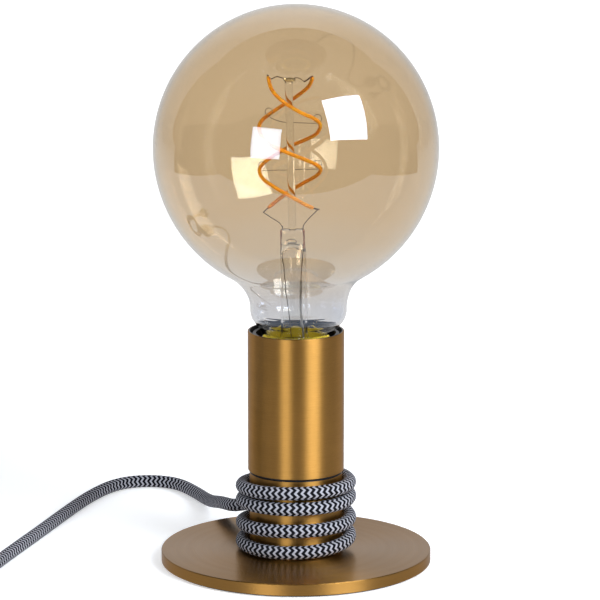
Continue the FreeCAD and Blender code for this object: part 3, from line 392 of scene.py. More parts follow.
TOP_RIGHT_WIRE = [
    (-0.8, 0.0, 216.6),
    (0.6, 0.0, 216.8),
    (2.0, 0.0, 216.3),
    (3.2, 0.0, 215.4),
    (4.4, 0.0, 215.2),
]
LOW_RIGHT_WIRE = [
    (9.6, -1.0, 158.9),
    (8.0, -0.6, 157.2),
    (6.2, -0.2, 155.4),
    (4.7, 0.0, 153.6),
    (3.4, 0.0, 151.9),
    (3.0, 0.0, 149.6),
]
LOW_LEFT_WIRE = [
    (-14.0, 1.4, 157.1),
    (-10.8, 0.8, 155.0),
    (-7.7, 0.3, 153.2),
    (-6.6, 0.0, 152.1),
    (-5.9, 0.0, 150.9),
    (-6.1, 0.0, 149.4),
]
END_WIRES = [
    TOP_LEFT_WIRE,
    [(-11.0, 0.0, 216.2), (-11.6, 0.0, 217.0), (-12.3, 0.0, 217.7)],
    TOP_RIGHT_WIRE,
    LOW_RIGHT_WIRE,
    LOW_LEFT_WIRE,
]
END_TABS = [
    [(-12.4, 0.0, 216.9), (-12.3, 0.0, 217.5), (-12.2, 0.0, 218.1)],
    [(3.6, 0.0, 215.0), (4.8, 0.0, 215.8), (6.2, 0.0, 216.9), (7.4, 0.0, 217.5)],
    [(7.2, -2.3, 159.9), (8.6, -1.5, 159.3), (10.2, -0.8, 158.9)],
    [(-12.1, 2.4, 159.1), (-13.2, 1.9, 158.2), (-14.3, 1.4, 157.1)],
]
STEADY_WIRES = [
    [(-3.9, 0.0, 197.2), (-6.6, 0.0, 197.6), (-9.6, 0.0, 198.6), (-12.0, 0.0, 199.9)],
    [(-1.2, 0.0, 197.2), (3.0, 0.0, 197.0), (9.4, 0.0, 196.8)],
    [(-3.4, 0.0, 176.3), (-9.0, 0.0, 176.2), (-15.0, 0.0, 176.0)],
    [(-0.4, 0.0, 176.6), (5.0, 0.0, 176.6), (10.0, 0.0, 176.7)],
]
# The wires' loops round the filaments: x, z and radius.
STEADY_LOOPS = [(-11.8, 201.9, 1.6), (9.4, 198.9, 1.8), (-14.8, 178.3, 1.6), (9.6, 178.9, 1.7)]
SEALS = [
    [(-6.3, 0.0, 149.4), (-6.15, 0.0, 147.0), (-6.35, 0.0, 144.2), (-5.9, 0.0, 142.0)],
    [(3.0, 0.0, 149.4), (3.2, 0.0, 146.6), (3.1, 0.0, 143.4), (2.8, 0.0, 141.4)],
]
LEFT_LEAD = [
    (-5.9, 0.0, 142.2),
    (-5.3, 0.0, 134.0),
    (-4.9, 0.0, 128.0),
    (-4.1, 0.0, 121.0),
    (-2.6, 0.2, 108.0),
    (-1.8, 0.4, 96.0),
]
RIGHT_LEAD = [(2.7, 0.0, 141.6), (2.4, 0.0, 134.0), (2.2, 0.0, 127.0), (2.2, 0.0, 116.0)]
SLEEVE = [
    (2.2, 0.0, 127.0),
    (2.1, 0.0, 120.0),
    (2.2, 0.0, 113.0),
    (2.8, 0.3, 107.0),
    (3.3, 0.5, 102.5),
    (2.6, 0.6, 96.0),
]
SUPPORT_ROD = [(-1.5, 0.0, 149.6), (-1.9, 0.0, 166.0), (-2.5, 0.0, 190.0), (-3.2, 0.0, 215.6)]

# Radii, in metres; the tabs are squashed to half one way.
STRAND = 0.84 * MM
FINE_WIRE = 0.13 * MM
WIRE = 0.21 * MM
TAB = 0.45 * MM
SEAL = 0.27 * MM
LEAD_WIRE = 0.2 * MM
LEAD_SLEEVE = 0.52 * MM
ROD = 1.7 * MM
BEAD_RADII = (0.0027, 0.0027, 0.0010)
BUBBLE_RADII = (0.0024, 0.0012, 0.0015)


def through(points, parts=8):
    """A smooth line in metres through points in millimetres, each stretch cut into parts."""
    axes = [[p[i] for p in points] for i in range(3)]
    steps = (len(points) - 1) * parts
    return [Vector([eased(axis, n / parts) for axis in axes]) * MM for n in range(steps + 1)]


def strand(name, points):
    """A filament: a coated strip with rounded ends."""
    line = through(points)
    reach = [STRAND] * len(line)
    for i, part in enumerate((0.55, 0.85, 0.97)):
        reach[i] = reach[-1 - i] = STRAND * part
    return merged(name, [rod(line, reach, 20)])


def loop_line(x, z, radius):
    """An open ring of wire round a filament, standing across it."""
    parts, start, sweep, lean = 28, -80.0, 340.0, 0.6
    made = []
    for n in range(parts + 1):
        a = math.radians(start + sweep * n / parts)
        point = (x + radius * math.cos(a), lean * math.sin(a / 2), z + radius * math.sin(a))
        made.append(Vector(point) * MM)
    return made


# The rolled thread, in millimetres: its pitch, and the length over which it fades out.
PITCH = 3.629
RUN_OUT = 1.6


def screw_skin(name, outline, low, high, deep, sides=120):
    """A part turned from a closed outline, with a rolled thread between two heights.

    Deep is the thread's depth, which fades to nothing over the run-out at each end."""
    verts = []
    for r, z in outline:
        fade = max(0.0, min(1.0, (z - low) / RUN_OUT, (high - z) / RUN_OUT))
        for k in range(sides):
            turn = k / sides
            wave = 0.5 - 0.5 * math.cos(2 * math.pi * ((z - low) / PITCH - turn))
            out = (r - deep * fade * wave) * MM
            a = 2 * math.pi * turn
            verts.append((out * math.cos(a), out * math.sin(a), z * MM))
    return new_object(name, verts, rings(len(outline), sides, closed=True))


def skin(name, rows, low_pole, high_pole):
    """A closed surface over rings of points, with a point at each end.

    The rings come in the order in which the surface runs up on its outside."""
    sides = len(rows[0])
    verts = [Vector(point) * MM for row in rows for point in row]
    faces = rings(len(rows), sides)
    first, last = len(verts), len(verts) + 1
    verts += [Vector(low_pole) * MM, Vector(high_pole) * MM]
    end = (len(rows) - 1) * sides
    for k in range(sides):
        n = (k + 1) % sides
        faces.append((first, n, k))
        faces.append((end + k, end + n, last))
    return new_object(name, verts, faces)


def oval(wide, thick, z, square=1.0, x=0.0, sides=96):
    """A ring of points in millimetres; square below 1 pulls the oval towards a box."""
    made = []
    for k in range(sides):
        c, s = math.cos(2 * math.pi * k / sides), math.sin(2 * math.pi * k / sides)
        across = math.copysign(abs(c) ** square, c) * wide
        made.append((x + across, math.copysign(abs(s) ** square, s) * thick, z))
    return made


# The foot of the neck, from its straight part in to the stub: radius and height.
BOWL = [(21.3, 113.6), (20.75, 111.2), (19.75, 109.3), (18.5, 107.7)]
BOWL += [(17.0, 105.9), (15.3, 104.2), (13.8, 103.1), (12.7, 102.4)]
STUB, STUB_TOP, STUB_FOOT = 12.32, 102.2, 94.9
GLASS_WALL = 0.9


def globe_outline(inset):
    """The glass's outline from its top down to the stub, inside its outer face by the inset.

    Its arcs are the top, a little higher than it is wide, the lower curve, and the flare that
    leads into the neck."""
    top, high, low, flare, neck = 62.5, 62.9, 64.8, 17.0, 21.3
    middle, low_x, flare_x = 185.8, top - low, neck + flare
    drop = math.sqrt((low + flare) ** 2 - (flare_x - low_x) ** 2)
    join = math.degrees(math.atan2(-drop, flare_x - low_x))
    arcs = [
        ((0.0, middle), top - inset, 89.0, 0.0, 64),
        ((low_x, middle), low - inset, 0.0, join, 48),
        ((flare_x, middle - drop), flare + inset, 180 + join, 180.0, 28),
    ]
    made = []
    for (x, z), radius, start, end, parts in arcs:
        for n in range(parts + 1):
            a = math.radians(start + (end - start) * n / parts)
            rise = high - inset if start > 0 and end == 0 else radius
            made.append((x + radius * math.cos(a), z + rise * math.sin(a)))
    line = through([(r, 0.0, z) for r, z in BOWL], 4)
    for a, b in zip(line, line[1:]):
        along = (b - a).normalized()
        made.append((a.x / MM + along.z * inset, a.z / MM - along.x * inset))
    return made + [(STUB - inset, STUB_TOP + inset * 0.7), (STUB - inset, STUB_FOOT)]


def neck_shift(z):
    """How far the blown neck stands off the axis, to the right in the photo.

    It grows from 131 mm down, over 14 mm, and fades again over the last 4.5 mm of the bowl."""
    below = max(0.0, min(1.0, (131.0 - z) / 14.0))
    above = max(0.0, min(1.0, (z - 102.5) / 4.5))
    return 1.1 * below * below * (3 - 2 * below) * above


def globe_glass():
    """The globe and its neck: down the inside of the wall and up its outside."""
    path = globe_outline(GLASS_WALL) + globe_outline(0.0)[::-1]
    kept = [path[0]]
    for point in path[1:]:
        if math.dist(point, kept[-1]) > 0.01:
            kept.append(point)
    rows = [oval(r, r, z, x=neck_shift(z), sides=192) for r, z in kept]
    return skin("globe_glass", rows, (0.0, 0.0, 247.8), (0.0, 0.0, 248.7))


def stem_glass():
    """The flare tube, squeezed flat at its top round the leads."""
    # Radius and height up the bore and up the outside.
    inside = [(9.2, 94.95), (7.8, 96.6), (6.7, 98.4), (5.7, 100.8)]
    inside += [(5.2, 103.2), (5.1, 112.0), (5.0, 124.0), (4.95, 134.0)]
    outside = [(10.5, 94.95), (10.5, 95.7), (8.9, 97.0), (7.5, 99.2), (6.5, 101.6)]
    outside += [(6.05, 104.0), (5.95, 112.0), (5.85, 124.0), (5.8, 134.0), (5.75, 137.5)]
    # Half width, half thickness and height of the bore's closed end.
    dome = [(4.8, 4.2, 137.0), (4.3, 3.2, 139.2), (3.2, 2.2, 140.8), (1.7, 1.1, 141.7)]
    # The same with the squareness, up the squeezed outside.
    squeezed = [(5.7, 5.0, 139.5, 0.95), (5.6, 3.6, 141.6, 0.85), (5.5, 2.5, 143.4, 0.75)]
    squeezed += [(5.4, 2.1, 145.0, 0.65), (5.4, 2.0, 147.2, 0.6), (5.4, 2.0, 149.3, 0.6)]
    squeezed += [(5.2, 1.8, 149.9, 0.65), (4.4, 1.2, 150.25, 0.7)]

    def shift(z):
        """The stem leans to the left towards its top."""
        return -0.77 - 0.75 * max(0.0, min(1.0, (z - 128.0) / 18.0))

    rows = [oval(wide, thick, z, x=shift(z)) for wide, thick, z in dome[::-1]]
    rows += [oval(r, r, z, x=shift(z)) for r, z in inside[::-1]]
    rows += [oval(r, r, z, x=shift(z)) for r, z in outside]
    rows += [oval(wide, thick, z, square, shift(z)) for wide, thick, z, square in squeezed]
    return skin("stem_glass", rows, (shift(142.0), 0.0, 141.95), (shift(150.3), 0.0, 150.3))


def upright(r, low, high, step=0.3):
    """Points up a straight wall of an outline; high below low runs down it."""
    count = max(int(abs(high - low) / step), 1)
    return [(r, low + (high - low) * n / count) for n in range(count + 1)]


def screw_cap():
    """The bulb's cap: a sheet with a turned-in foot, a thread and a flared rim."""
    low, top, r, wall = 79.9, 101.9, 12.95, 0.35
    rim, inner_rim, foot = r + 2.05, r + 1.7, r - 1.6
    outline = [(foot, low)] + upright(r, low + 1.2, top - 3.2)
    outline += [(rim, top - 0.6), (rim, top), (inner_rim, top), (inner_rim, top - 0.5)]
    outline += upright(r - wall, top - 3.1, low + 1.5) + [(foot - wall, low + 0.3)]
    return screw_skin("screw_cap", outline, low + 1.0, top - 3.6, 0.85)


def gap_washer():
    """The washer between the stem and the cup, without a thread."""
    low, top, r, bore = 41.22, 41.98, 20.15, 5.2
    outline = [(bore, low), (r - 0.2, low), (r, low + 0.15)]
    outline += [(r, top - 0.15), (r - 0.2, top), (bore, top)]
    return screw_skin("gap_washer", outline, 0.0, 1.0, 0.0)


def screw_shell():
    """The lampholder's threaded shell, with its turned-in foot."""
    low, top, r, wall = 70.5, 96.2, 13.4, 0.4
    outline = [(r - 2.2, low)] + upright(r + wall, low, top)
    outline += upright(r, top, low + wall) + [(r - 2.2, low + wall)]
    return screw_skin("screw_shell", outline, low + 6.0, top - 1.0, 0.4)


def inner_parts():
    """The bulb's pieces and the threaded ones, each with the CAD node that it replaces."""
    made = {
        "filament_left": strand("strand_left", LEFT_STRAND),
        "filament_right": strand("strand_right", RIGHT_STRAND),
    }
    wires = [rod(through(line), WIRE, 12) for line in END_WIRES]
    wires += [rod(through(line, 4), TAB, 16, flat=0.5) for line in END_TABS]
    made["filament_wires"] = merged("end_wires", wires)
    steady = [rod(through(line), FINE_WIRE, 10) for line in STEADY_WIRES]
    steady += [rod(loop_line(*loop), FINE_WIRE, 10) for loop in STEADY_LOOPS]
    made["hook_wires"] = merged("steady_wires", steady)
    made["seal_leads"] = merged("pinch_seals", [rod(through(line), SEAL, 12) for line in SEALS])
    made["support_rod"] = merged("glass_rod", [rod(through(SUPPORT_ROD), ROD, 32)])
    made["bulb_globe"] = globe_glass()
    made["glass_stem"] = stem_glass()
    made["rod_bead"] = merged("glass_bead", [ball((-0.0028, 0.0, 0.2159), BEAD_RADII)])
    made["bulb_cap"] = screw_cap()
    made["cup_washer"] = gap_washer()
    made["thread_shell"] = screw_shell()
    return made


INNER = inner_parts()
leads = [rod(through(line), LEAD_WIRE, 12) for line in (LEFT_LEAD, RIGHT_LEAD)]
lead_wires = merged("lead_wires", leads)
lead_sleeve = merged("lead_sleeve", [rod(through(SLEEVE), LEAD_SLEEVE, 16)])
air_bubble = merged("air_bubble", [ball((-0.0020, 0.0, 0.1443), BUBBLE_RADII)])

# The strap round the coil: where it sits, in turns, its width, and how far its faces stand off
# the four strands' centres; its inner face stays above the table by the strap's thickness.
TIE_AT = 0.30
TIE_WIDE = 6.0
TIE_OUTER, TIE_INNER = 3.35, 2.75
TIE_REACH = 32.0
TIE_LIFT = 0.4


def coil_tie():
    """A short strap round the four strands of the put-away coil."""
    around = 2 * math.pi * TIE_AT
    out = Vector((math.cos(around), math.sin(around), 0.0))
    ahead = Vector((-out.y, out.x, 0.0))
    middle = Vector((*COIL, 2 * CORD_RADIUS)) + out * TIE_REACH
    count, verts = 96, []
    for k in range(count):
        a = 2 * math.pi * (k + 0.5) / count
        c, s = math.cos(a), math.sin(a)
        corner = (math.copysign(CORD_RADIUS, c), math.copysign(CORD_RADIUS, s))
        for reach, side in ((TIE_OUTER, -1), (TIE_OUTER, 1), (TIE_INNER, 1), (TIE_INNER, -1)):
            off, up = corner[0] + reach * c, corner[1] + reach * s
            point = middle + out * off + ahead * (side * TIE_WIDE / 2)
            lowest = 0.0 if reach == TIE_OUTER else TIE_LIFT
            verts.append(Vector((point.x, point.y, max(point.z + up, lowest))) * MM)
    faces = []
    for k in range(count):
        here, there = 4 * k, 4 * ((k + 1) % count)
        faces += [(here + i, here + (i + 1) % 4, there + (i + 1) % 4, there + i) for i in range(4)]
    return new_object("coil_tie", verts, faces)


tie = coil_tie()


# ---- materials ----
WHITE = (1.0, 1.0, 1.0, 1.0)


class Nodes:
    """The shader nodes of a material, world or light, with short calls to add and join them."""

    def __init__(self, owner, output):
        owner.use_nodes = True
        self.owner = owner
        self.tree = owner.node_tree
        self.tree.nodes.clear()
        self.out = self.add(output)

    def add(self, kind, inputs=None, **settings):
        """A node with its inputs and settings; an input is a value or another node's output."""
        node = self.tree.nodes.new("ShaderNode" + kind)
        for key, value in settings.items():
            setattr(node, key, value)
        for key, value in (inputs or {}).items():
            self.give(node.inputs[key], value)
        return node

    def give(self, socket, value):
        if isinstance(value, bpy.types.NodeSocket):
            self.tree.links.new(value, socket)
        else:
            socket.default_value = value

    def math(self, operation, a, b=0.0):
        return self.add("Math", {0: a, 1: b}, operation=operation).outputs[0]

    def mix(self, amount, a, b):
        node = self.add("Mix", data_type="RGBA")
        self.give(node.inputs[0], amount)
        self.give(node.inputs[6], a)
        self.give(node.inputs[7], b)
        return node.outputs[2]

    def spread(self, value, low, high, to_low, to_high):
        """The value carried from one range to another, held at the ends."""
        node = self.add("MapRange", {0: value, 1: low, 2: high, 3: to_low, 4: to_high})
        return node.outputs[0]

    def reach(self, x, y):
        """The distance from the axis."""
        squares = self.math("ADD", self.math("MULTIPLY", x, x), self.math("MULTIPLY", y, y))
        return self.math("SQRT", squares)

    def place(self):
        """Object coordinates in millimetres, as a vector and as x, y and z."""
        coords = self.add("TexCoord").outputs["Object"]
        scaled = self.add("VectorMath", {0: coords, "Scale": 1000.0}, operation="SCALE").outputs[0]
        parts = self.add("SeparateXYZ", {0: scaled})
        return scaled, parts.outputs[0], parts.outputs[1], parts.outputs[2]

    def vector(self, x, y, z):
        return self.add("CombineXYZ", {0: x, 1: y, 2: z}).outputs[0]

    def noise(self, vector, scale, detail=3.0, rough=0.5):
        inputs = {"Vector": vector, "Scale": scale, "Detail": detail, "Roughness": rough}
        return self.add("TexNoise", inputs).outputs[0]

    def bump(self, height, strength, distance):
        inputs = {"Strength": strength, "Distance": distance, "Height": height}
        return self.add("Bump", inputs).outputs[0]

    def surface(self, **inputs):
        names = {key.replace("_", " "): value for key, value in inputs.items()}
        self.show(self.add("BsdfPrincipled", names).outputs[0])

    def glow(self, strength):
        return self.add("Emission", {"Color": WHITE, "Strength": strength}).outputs[0]

    def blend(self, amount, a, b):
        """Two shaders mixed: a where the amount is 0, b where it is 1."""
        return self.add("MixShader", {0: amount, 1: a, 2: b}).outputs[0]

    def show(self, shader):
        self.give(self.out.inputs[0], shader)


def material_nodes(name):
    """A new material and its nodes."""
    return Nodes(bpy.data.materials.new(name), "OutputMaterial")


def dress(material, *names):
    """Gives CAD nodes or made pieces this material."""
    for name in names:
        obj = NODES.get(name) or bpy.data.objects[name]
        obj.data.materials.clear()
        obj.data.materials.append(material)


# The ring in which the disc's rim darkens, in millimetres from the axis.
DISC_RIM = (59.6, 59.8)
# Brass by its tint at grazing angles, coat, roughness from and to, brushing and depth of marks.
DISC_LOOK = ((0.64, 0.71, 0.80, 1.0), 0.32, 0.31, 0.37, 0.84, 0.03)
WALL_LOOK = ((0.62, 0.56, 0.52, 1.0), 0.18, 0.385, 0.425, 0.90, 0.05)
# Bare brass ends here, in millimetres: the radius of the cup's black lining, and the height
# above which the stem's top is painted black as painted shade of the gap under the cup.
CUP_LINING = 20.8
STEM_SHADE_FROM = 40.95


def brass_satin(name, look, lined=0.0, shade_from=1000.0):
    """Satin brass, brushed round the axis.

    Inside the lined radius it is black, as the cup's lining is; above the given height it is
    painted black too, as painted shade of the gap under the cup."""
    edge, coat, low_rough, high_rough, stretch, marks = look
    n = material_nodes(name)
    _, x, y, z = n.place()
    radius = n.reach(x, y)
    angle = n.math("ARCTAN2", y, x)
    stretched = [n.math("MULTIPLY", radius, 6.0), n.math("MULTIPLY", z, 6.0)]
    fine = n.noise(n.vector(*stretched, n.math("MULTIPLY", angle, 3.0)), 1.6, 6.0, 0.7)
    broad = n.noise(n.vector(radius, z, angle), 0.35, 3.0)
    mottle = n.noise(n.add("TexCoord").outputs["Object"], 38.0, 4.0)
    streak = n.spread(fine, 0.3, 0.7, 0.0, 1.0)
    tone = n.mix(streak, (0.375, 0.186, 0.040, 1), (0.50, 0.260, 0.062, 1))
    tone = n.mix(n.spread(mottle, 0.35, 0.7, 0.0, 0.25), tone, (0.30, 0.17, 0.05, 1))
    tone = n.mix(n.spread(radius, *DISC_RIM, 0.0, 0.15), tone, (0.16, 0.09, 0.03, 1))
    unlined, below = n.math("GREATER_THAN", radius, lined), n.math("LESS_THAN", z, shade_from)
    outside = n.math("MULTIPLY", unlined, below)
    # Black: the cup's lining inside, and painted shade on the stem's top in the gap under the cup.
    tone = n.mix(outside, (0.008, 0.008, 0.009, 1), tone)
    satin = n.spread(fine, 0.3, 0.7, low_rough, high_rough)
    rough = n.math("ADD", satin, n.spread(broad, 0.3, 0.7, -0.02, 0.03))
    n.surface(
        Base_Color=tone,
        Metallic=outside,
        Roughness=rough,
        Specular_Tint=edge,
        Anisotropic=stretch,
        Anisotropic_Rotation=0.25,
        Coat_Weight=coat,
        Coat_Roughness=0.22,
        Coat_IOR=1.5,
        Tangent=n.add("Tangent", direction_type="RADIAL", axis="Z").outputs[0],
        Normal=n.bump(fine, marks, 0.0002),
    )
    return n.owner


def plastic(name, color, rough, grain, glow=0.0):
    """Moulded plastic with a fine grain; glow stands for light that reaches it through glass."""
    n = material_nodes(name)
    vector, _, _, _ = n.place()
    grainy = n.noise(vector, 3.2, 4.0, 0.6)
    broad = n.noise(vector, 0.12, 2.0)
    light = tuple(min(c * 1.35 + 0.006, 1.0) for c in color) + (1.0,)
    tone = n.mix(n.spread(broad, 0.3, 0.7, 0.0, 1.0), (*color, 1.0), light)
    n.surface(
        Base_Color=tone,
        Roughness=n.spread(grainy, 0.3, 0.7, rough - 0.06, rough + 0.08),
        Emission_Color=(*color, 1.0),
        Emission_Strength=glow,
        Normal=n.bump(grainy, grain, 0.0001),
    )
    return n.owner


def metal(name, color, rough):
    """Plated or drawn metal with fine marks."""
    n = material_nodes(name)
    vector, x, y, z = n.place()
    marks = n.noise(n.vector(x, y, n.math("MULTIPLY", z, 6.0)), 1.2, 5.0, 0.65)
    cloud = n.noise(vector, 0.25, 3.0)
    dark = tuple(c * 0.72 for c in color) + (1.0,)
    tone = n.mix(n.spread(cloud, 0.3, 0.7, 0.0, 1.0), dark, (*color, 1.0))
    n.surface(
        Base_Color=tone,
        Metallic=1.0,
        Roughness=n.spread(marks, 0.3, 0.7, rough - 0.08, rough + 0.1),
        Normal=n.bump(marks, 0.08, 0.0001),
    )
    return n.owner


def textile():
    """The braid: black and pale strands in zigzags, each with its twisted yarns, and painted shade
    at the ends of the stitches.
    """
    n = material_nodes("textile")
    uv = n.add("SeparateXYZ", {0: n.add("UVMap", uv_map="UVMap").outputs[0]})
    along, around = uv.outputs[0], uv.outputs[1]
    column = n.math("FLOOR", around)
    across = n.math("SUBTRACT", n.math("SUBTRACT", around, column), 0.5)
    odd = n.math("MODULO", column, 2.0)
    lean = n.math("SUBTRACT", 1.0, n.math("MULTIPLY", odd, 2.0))
    shifted = n.math("ADD", along, n.math("MULTIPLY", lean, across))
    index = n.math("FLOOR", shifted)
    inside = n.math("SUBTRACT", shifted, index)
    is_pale = n.math("PINGPONG", index, 1.0)
    twist = n.vector(n.math("MULTIPLY", inside, 3.0), index, n.math("MULTIPLY", across, 1.2))
    yarn = n.noise(twist, 2.6, 3.0, 0.6)
    shade = n.spread(yarn, 0.3, 0.7, 0.0, 1.0)
    pale = n.mix(shade, (0.225, 0.225, 0.26, 1), (0.40, 0.395, 0.43, 1))
    dark = n.mix(shade, (0.002, 0.002, 0.003, 1), (0.008, 0.008, 0.011, 1))
    tone = n.mix(n.spread(is_pale, 0.45, 0.55, 0.0, 1.0), dark, pale)
    # Painted shade: each stitch darkens towards its ends, in the valleys where the strands dive.
    edge = n.math("MULTIPLY", n.math("ABSOLUTE", n.math("SUBTRACT", inside, 0.5)), 2.0)
    tone = n.mix(n.spread(edge, 0.60, 0.95, 0.0, 0.80), tone, (0.006, 0.006, 0.008, 1))
    n.surface(
        Base_Color=tone,
        Roughness=0.7,
        Specular_IOR_Level=0.06,
        Normal=n.bump(yarn, 0.5, 0.00012),
    )
    return n.owner


# The heights between which the globe's foot goes over into its shoulder, in millimetres.
SHOULDER = (105.0, 112.0)


def glass(name, top, neck, low_at=0.0, high_at=1.0, index=1.5, glance=None):
    """Clear glass whose tint fades between two heights, in millimetres.

    Towards its outline it turns pale and then dark, as painted reflection and painted shade at
    its edge. A glance is the tint of what it mirrors; the glass is then plainer below the shoulder
    and mirrors little there."""
    n = material_nodes(name)
    vector, _, _, z = n.place()
    uneven = n.noise(vector, 0.04, 2.0)
    level = n.math("ADD", z, n.spread(uneven, 0.0, 1.0, -6.0, 6.0))
    fade = n.spread(level, low_at, high_at, 0.0, 1.0)
    tone = n.mix(fade, (*neck, 1.0), (*top, 1.0))
    facing = n.add("LayerWeight", {"Blend": 0.5}).outputs["Facing"]
    # Painted reflection and painted shade: paler and then dark towards the outline, by the facing
    # angle.
    tone = n.mix(n.spread(facing, 0.5, 0.75, 0.0, 0.22), tone, (0.86, 0.87, 0.88, 1))
    tone = n.mix(n.spread(facing, 0.74, 0.9, 0.0, 0.8), tone, (0.50, 0.47, 0.46, 1))
    mirror = WHITE
    if glance:
        above = n.spread(z, *SHOULDER, 0.0, 1.0)
        tone = n.mix(above, (0.90, 0.88, 0.84, 1), tone)
        mirror = n.mix(above, (0.25, 0.24, 0.22, 1), glance)
    n.surface(
        Base_Color=tone,
        Roughness=0.0,
        IOR=index,
        Specular_Tint=mirror,
        Transmission_Weight=1.0,
    )
    return n.owner


def phosphor():
    """The filament's soft coating: orange, slightly translucent, with the chips' faint steps.

    It is darker on the side that faces the rod."""
    n = material_nodes("phosphor")
    vector, x, y, z = n.place()
    steps = n.noise(n.vector(0.0, 0.0, z), 1.6, 1.0)
    grain = n.noise(vector, 2.5, 3.0)
    step = n.spread(steps, 0.35, 0.65, 0.0, 1.0)
    tone = n.mix(step, (0.98, 0.42, 0.012, 1), (1.0, 0.50, 0.025, 1))
    normal = n.add("SeparateXYZ", {0: n.add("TexCoord").outputs["Normal"]})
    out_x = n.math("MULTIPLY", n.math("ADD", x, 2.4), normal.outputs[0])
    out_y = n.math("MULTIPLY", y, n.math("MULTIPLY", normal.outputs[1], 2.0))
    outward = n.math("ADD", out_x, out_y)
    tone = n.mix(n.spread(outward, -6.0, 5.0, 0.0, 1.0), (0.62, 0.24, 0.006, 1), tone)
    n.surface(
        Base_Color=tone,
        Roughness=0.42,
        Subsurface_Weight=0.4,
        Subsurface_Radius=(0.002, 0.0008, 0.0002),
        Subsurface_Scale=1.0,
        # Painted glow: the coating gives off a faint orange light of its own, though the bulb is
        # off.
        Emission_Color=(1.0, 0.40, 0.01, 1.0),
        Emission_Strength=0.10,
        Normal=n.bump(grain, 0.15, 0.0001),
    )
    return n.owner


METALS = {
    "zinc": metal("zinc", (0.62, 0.62, 0.62), 0.35),
    "contact": metal("contact", (0.78, 0.56, 0.24), 0.3),
    "shell": metal("shell", (0.80, 0.80, 0.82), 0.28),
    "nickel": metal("nickel", (0.78, 0.75, 0.70), 0.25),
    "solder": metal("solder", (0.66, 0.66, 0.68), 0.4),
    "wire": metal("wire", (0.30, 0.24, 0.18), 0.4),
    "copper": metal("copper", (0.85, 0.45, 0.32), 0.3),
    "chrome": metal("chrome", (0.86, 0.83, 0.77), 0.14),
}
BLACK = plastic("holder_black", (0.012, 0.012, 0.013), 0.35, 0.15)
FIBRE = plastic("fibre_black", (0.015, 0.014, 0.013), 0.7, 0.4)

dress(brass_satin("brass_disc", DISC_LOOK), "base_plate")
STEM_BRASS = brass_satin("brass_stem", WALL_LOOK, shade_from=STEM_SHADE_FROM)
dress(STEM_BRASS, "stem_tube")
dress(brass_satin("brass_cup", WALL_LOOK, lined=CUP_LINING), "lamp_cup")
dress(METALS["zinc"], "stem_foot", "stem_screws", "nipple", "nipple_nut", "lock_washer")
dress(METALS["zinc"], "holder_grub", "terminal_screws", "rocker_pin")
dress(METALS["contact"], "centre_contact", "side_contact", "terminals", "switch_contacts")
dress(METALS["shell"], "screw_shell")
dress(METALS["nickel"], "screw_cap")
dress(METALS["solder"], "bulb_tip")
dress(METALS["wire"], "end_wires", "steady_wires", "lead_wires")
dress(METALS["copper"], "pinch_seals")
dress(plastic("sleeve", (0.62, 0.60, 0.56), 0.6, 0.3), "lead_sleeve")
dress(METALS["chrome"], "plug_pins")
dress(FIBRE, "coil_tie", "base_pad", "gap_washer", "cord_bush", "cord_clamp")
dress(BLACK, "holder_dome", "holder_skirt", "switch_rocker")
SWITCH_BLACK = plastic("switch_black", (0.014, 0.014, 0.015), 0.45, 0.5)
dress(SWITCH_BLACK, "switch_base", "switch_cover", "pin_posts")
dress(plastic("plug_black", (0.014, 0.014, 0.015), 0.5, 0.5), "plug_body", "plug_relief")
dress(plastic("core_ceramic", (0.70, 0.67, 0.60), 0.6, 0.4), "holder_core")
dress(plastic("lead_brown", (0.20, 0.08, 0.03), 0.35, 0.1), "lead_live")
dress(plastic("lead_blue", (0.03, 0.09, 0.38), 0.35, 0.1), "lead_neutral")
dress(plastic("insulator", (0.01, 0.01, 0.015), 0.12, 0.05), "bulb_insulator")
dress(plastic("cement", (0.66, 0.51, 0.04), 0.7, 0.4, glow=0.30), "bulb_cement")
dress(plastic("board", (0.03, 0.2, 0.07), 0.4, 0.2), "driver_board")
dress(phosphor(), "strand_left", "strand_right")
AMBER = ((0.868, 0.745, 0.57), (0.845, 0.875, 0.945), 108.0, 150.0)
GLANCE = (0.64, 0.77, 1.0, 1.0)
dress(glass("glass_amber", *AMBER, index=1.7, glance=GLANCE), "globe_glass")
CLEAR = glass("glass_clear", (0.985, 0.985, 0.98), (0.98, 0.985, 0.98))
dress(CLEAR, "stem_glass", "glass_rod")
dress(glass("bead_glass", (0.93, 0.86, 0.62), (0.93, 0.86, 0.62)), "glass_bead")
# Air within glass, so the index is the other way round.
dress(glass("bubble", (1.0, 1.0, 1.0), (0.98, 0.99, 1.0), index=0.667), "air_bubble")
dress(textile(), "cord_braid")
dress(plastic("inner_textile", (0.30, 0.30, 0.34), 0.85, 0.8), "inner_cord")
for node in NODES.values():
    node.data.polygons.foreach_set("use_smooth", [True] * len(node.data.polygons))
# The disc's side is brushed along its edge, like the stem; it lies beyond this radius, in metres.
DISC_SIDE = 0.059
disc = NODES["base_plate"].data
disc.materials.append(STEM_BRASS)
for face in disc.polygons:
    reach = math.hypot(face.center.x, face.center.y)
    if abs(face.normal.z) < 0.5 and reach > DISC_SIDE:
        face.material_index = 1

ON_LAMP = {"thread_shell": "shell_metal", "cup_washer": "black_fibre"}
for node, piece in INNER.items():
    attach(piece, "lamp" if node in ON_LAMP else "bulb")
    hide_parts(node)
ADDED = ((lead_wires, "wire_metal"), (lead_sleeve, "wire_metal"), (air_bubble, "glass_clear"))
for piece, slot in ADDED:
    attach(piece, "bulb")

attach(cord, "lamp")
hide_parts("cord_winding", "cord_lead", "cord_tail", "cord_coil", "cord_end")
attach(tie, "lamp")


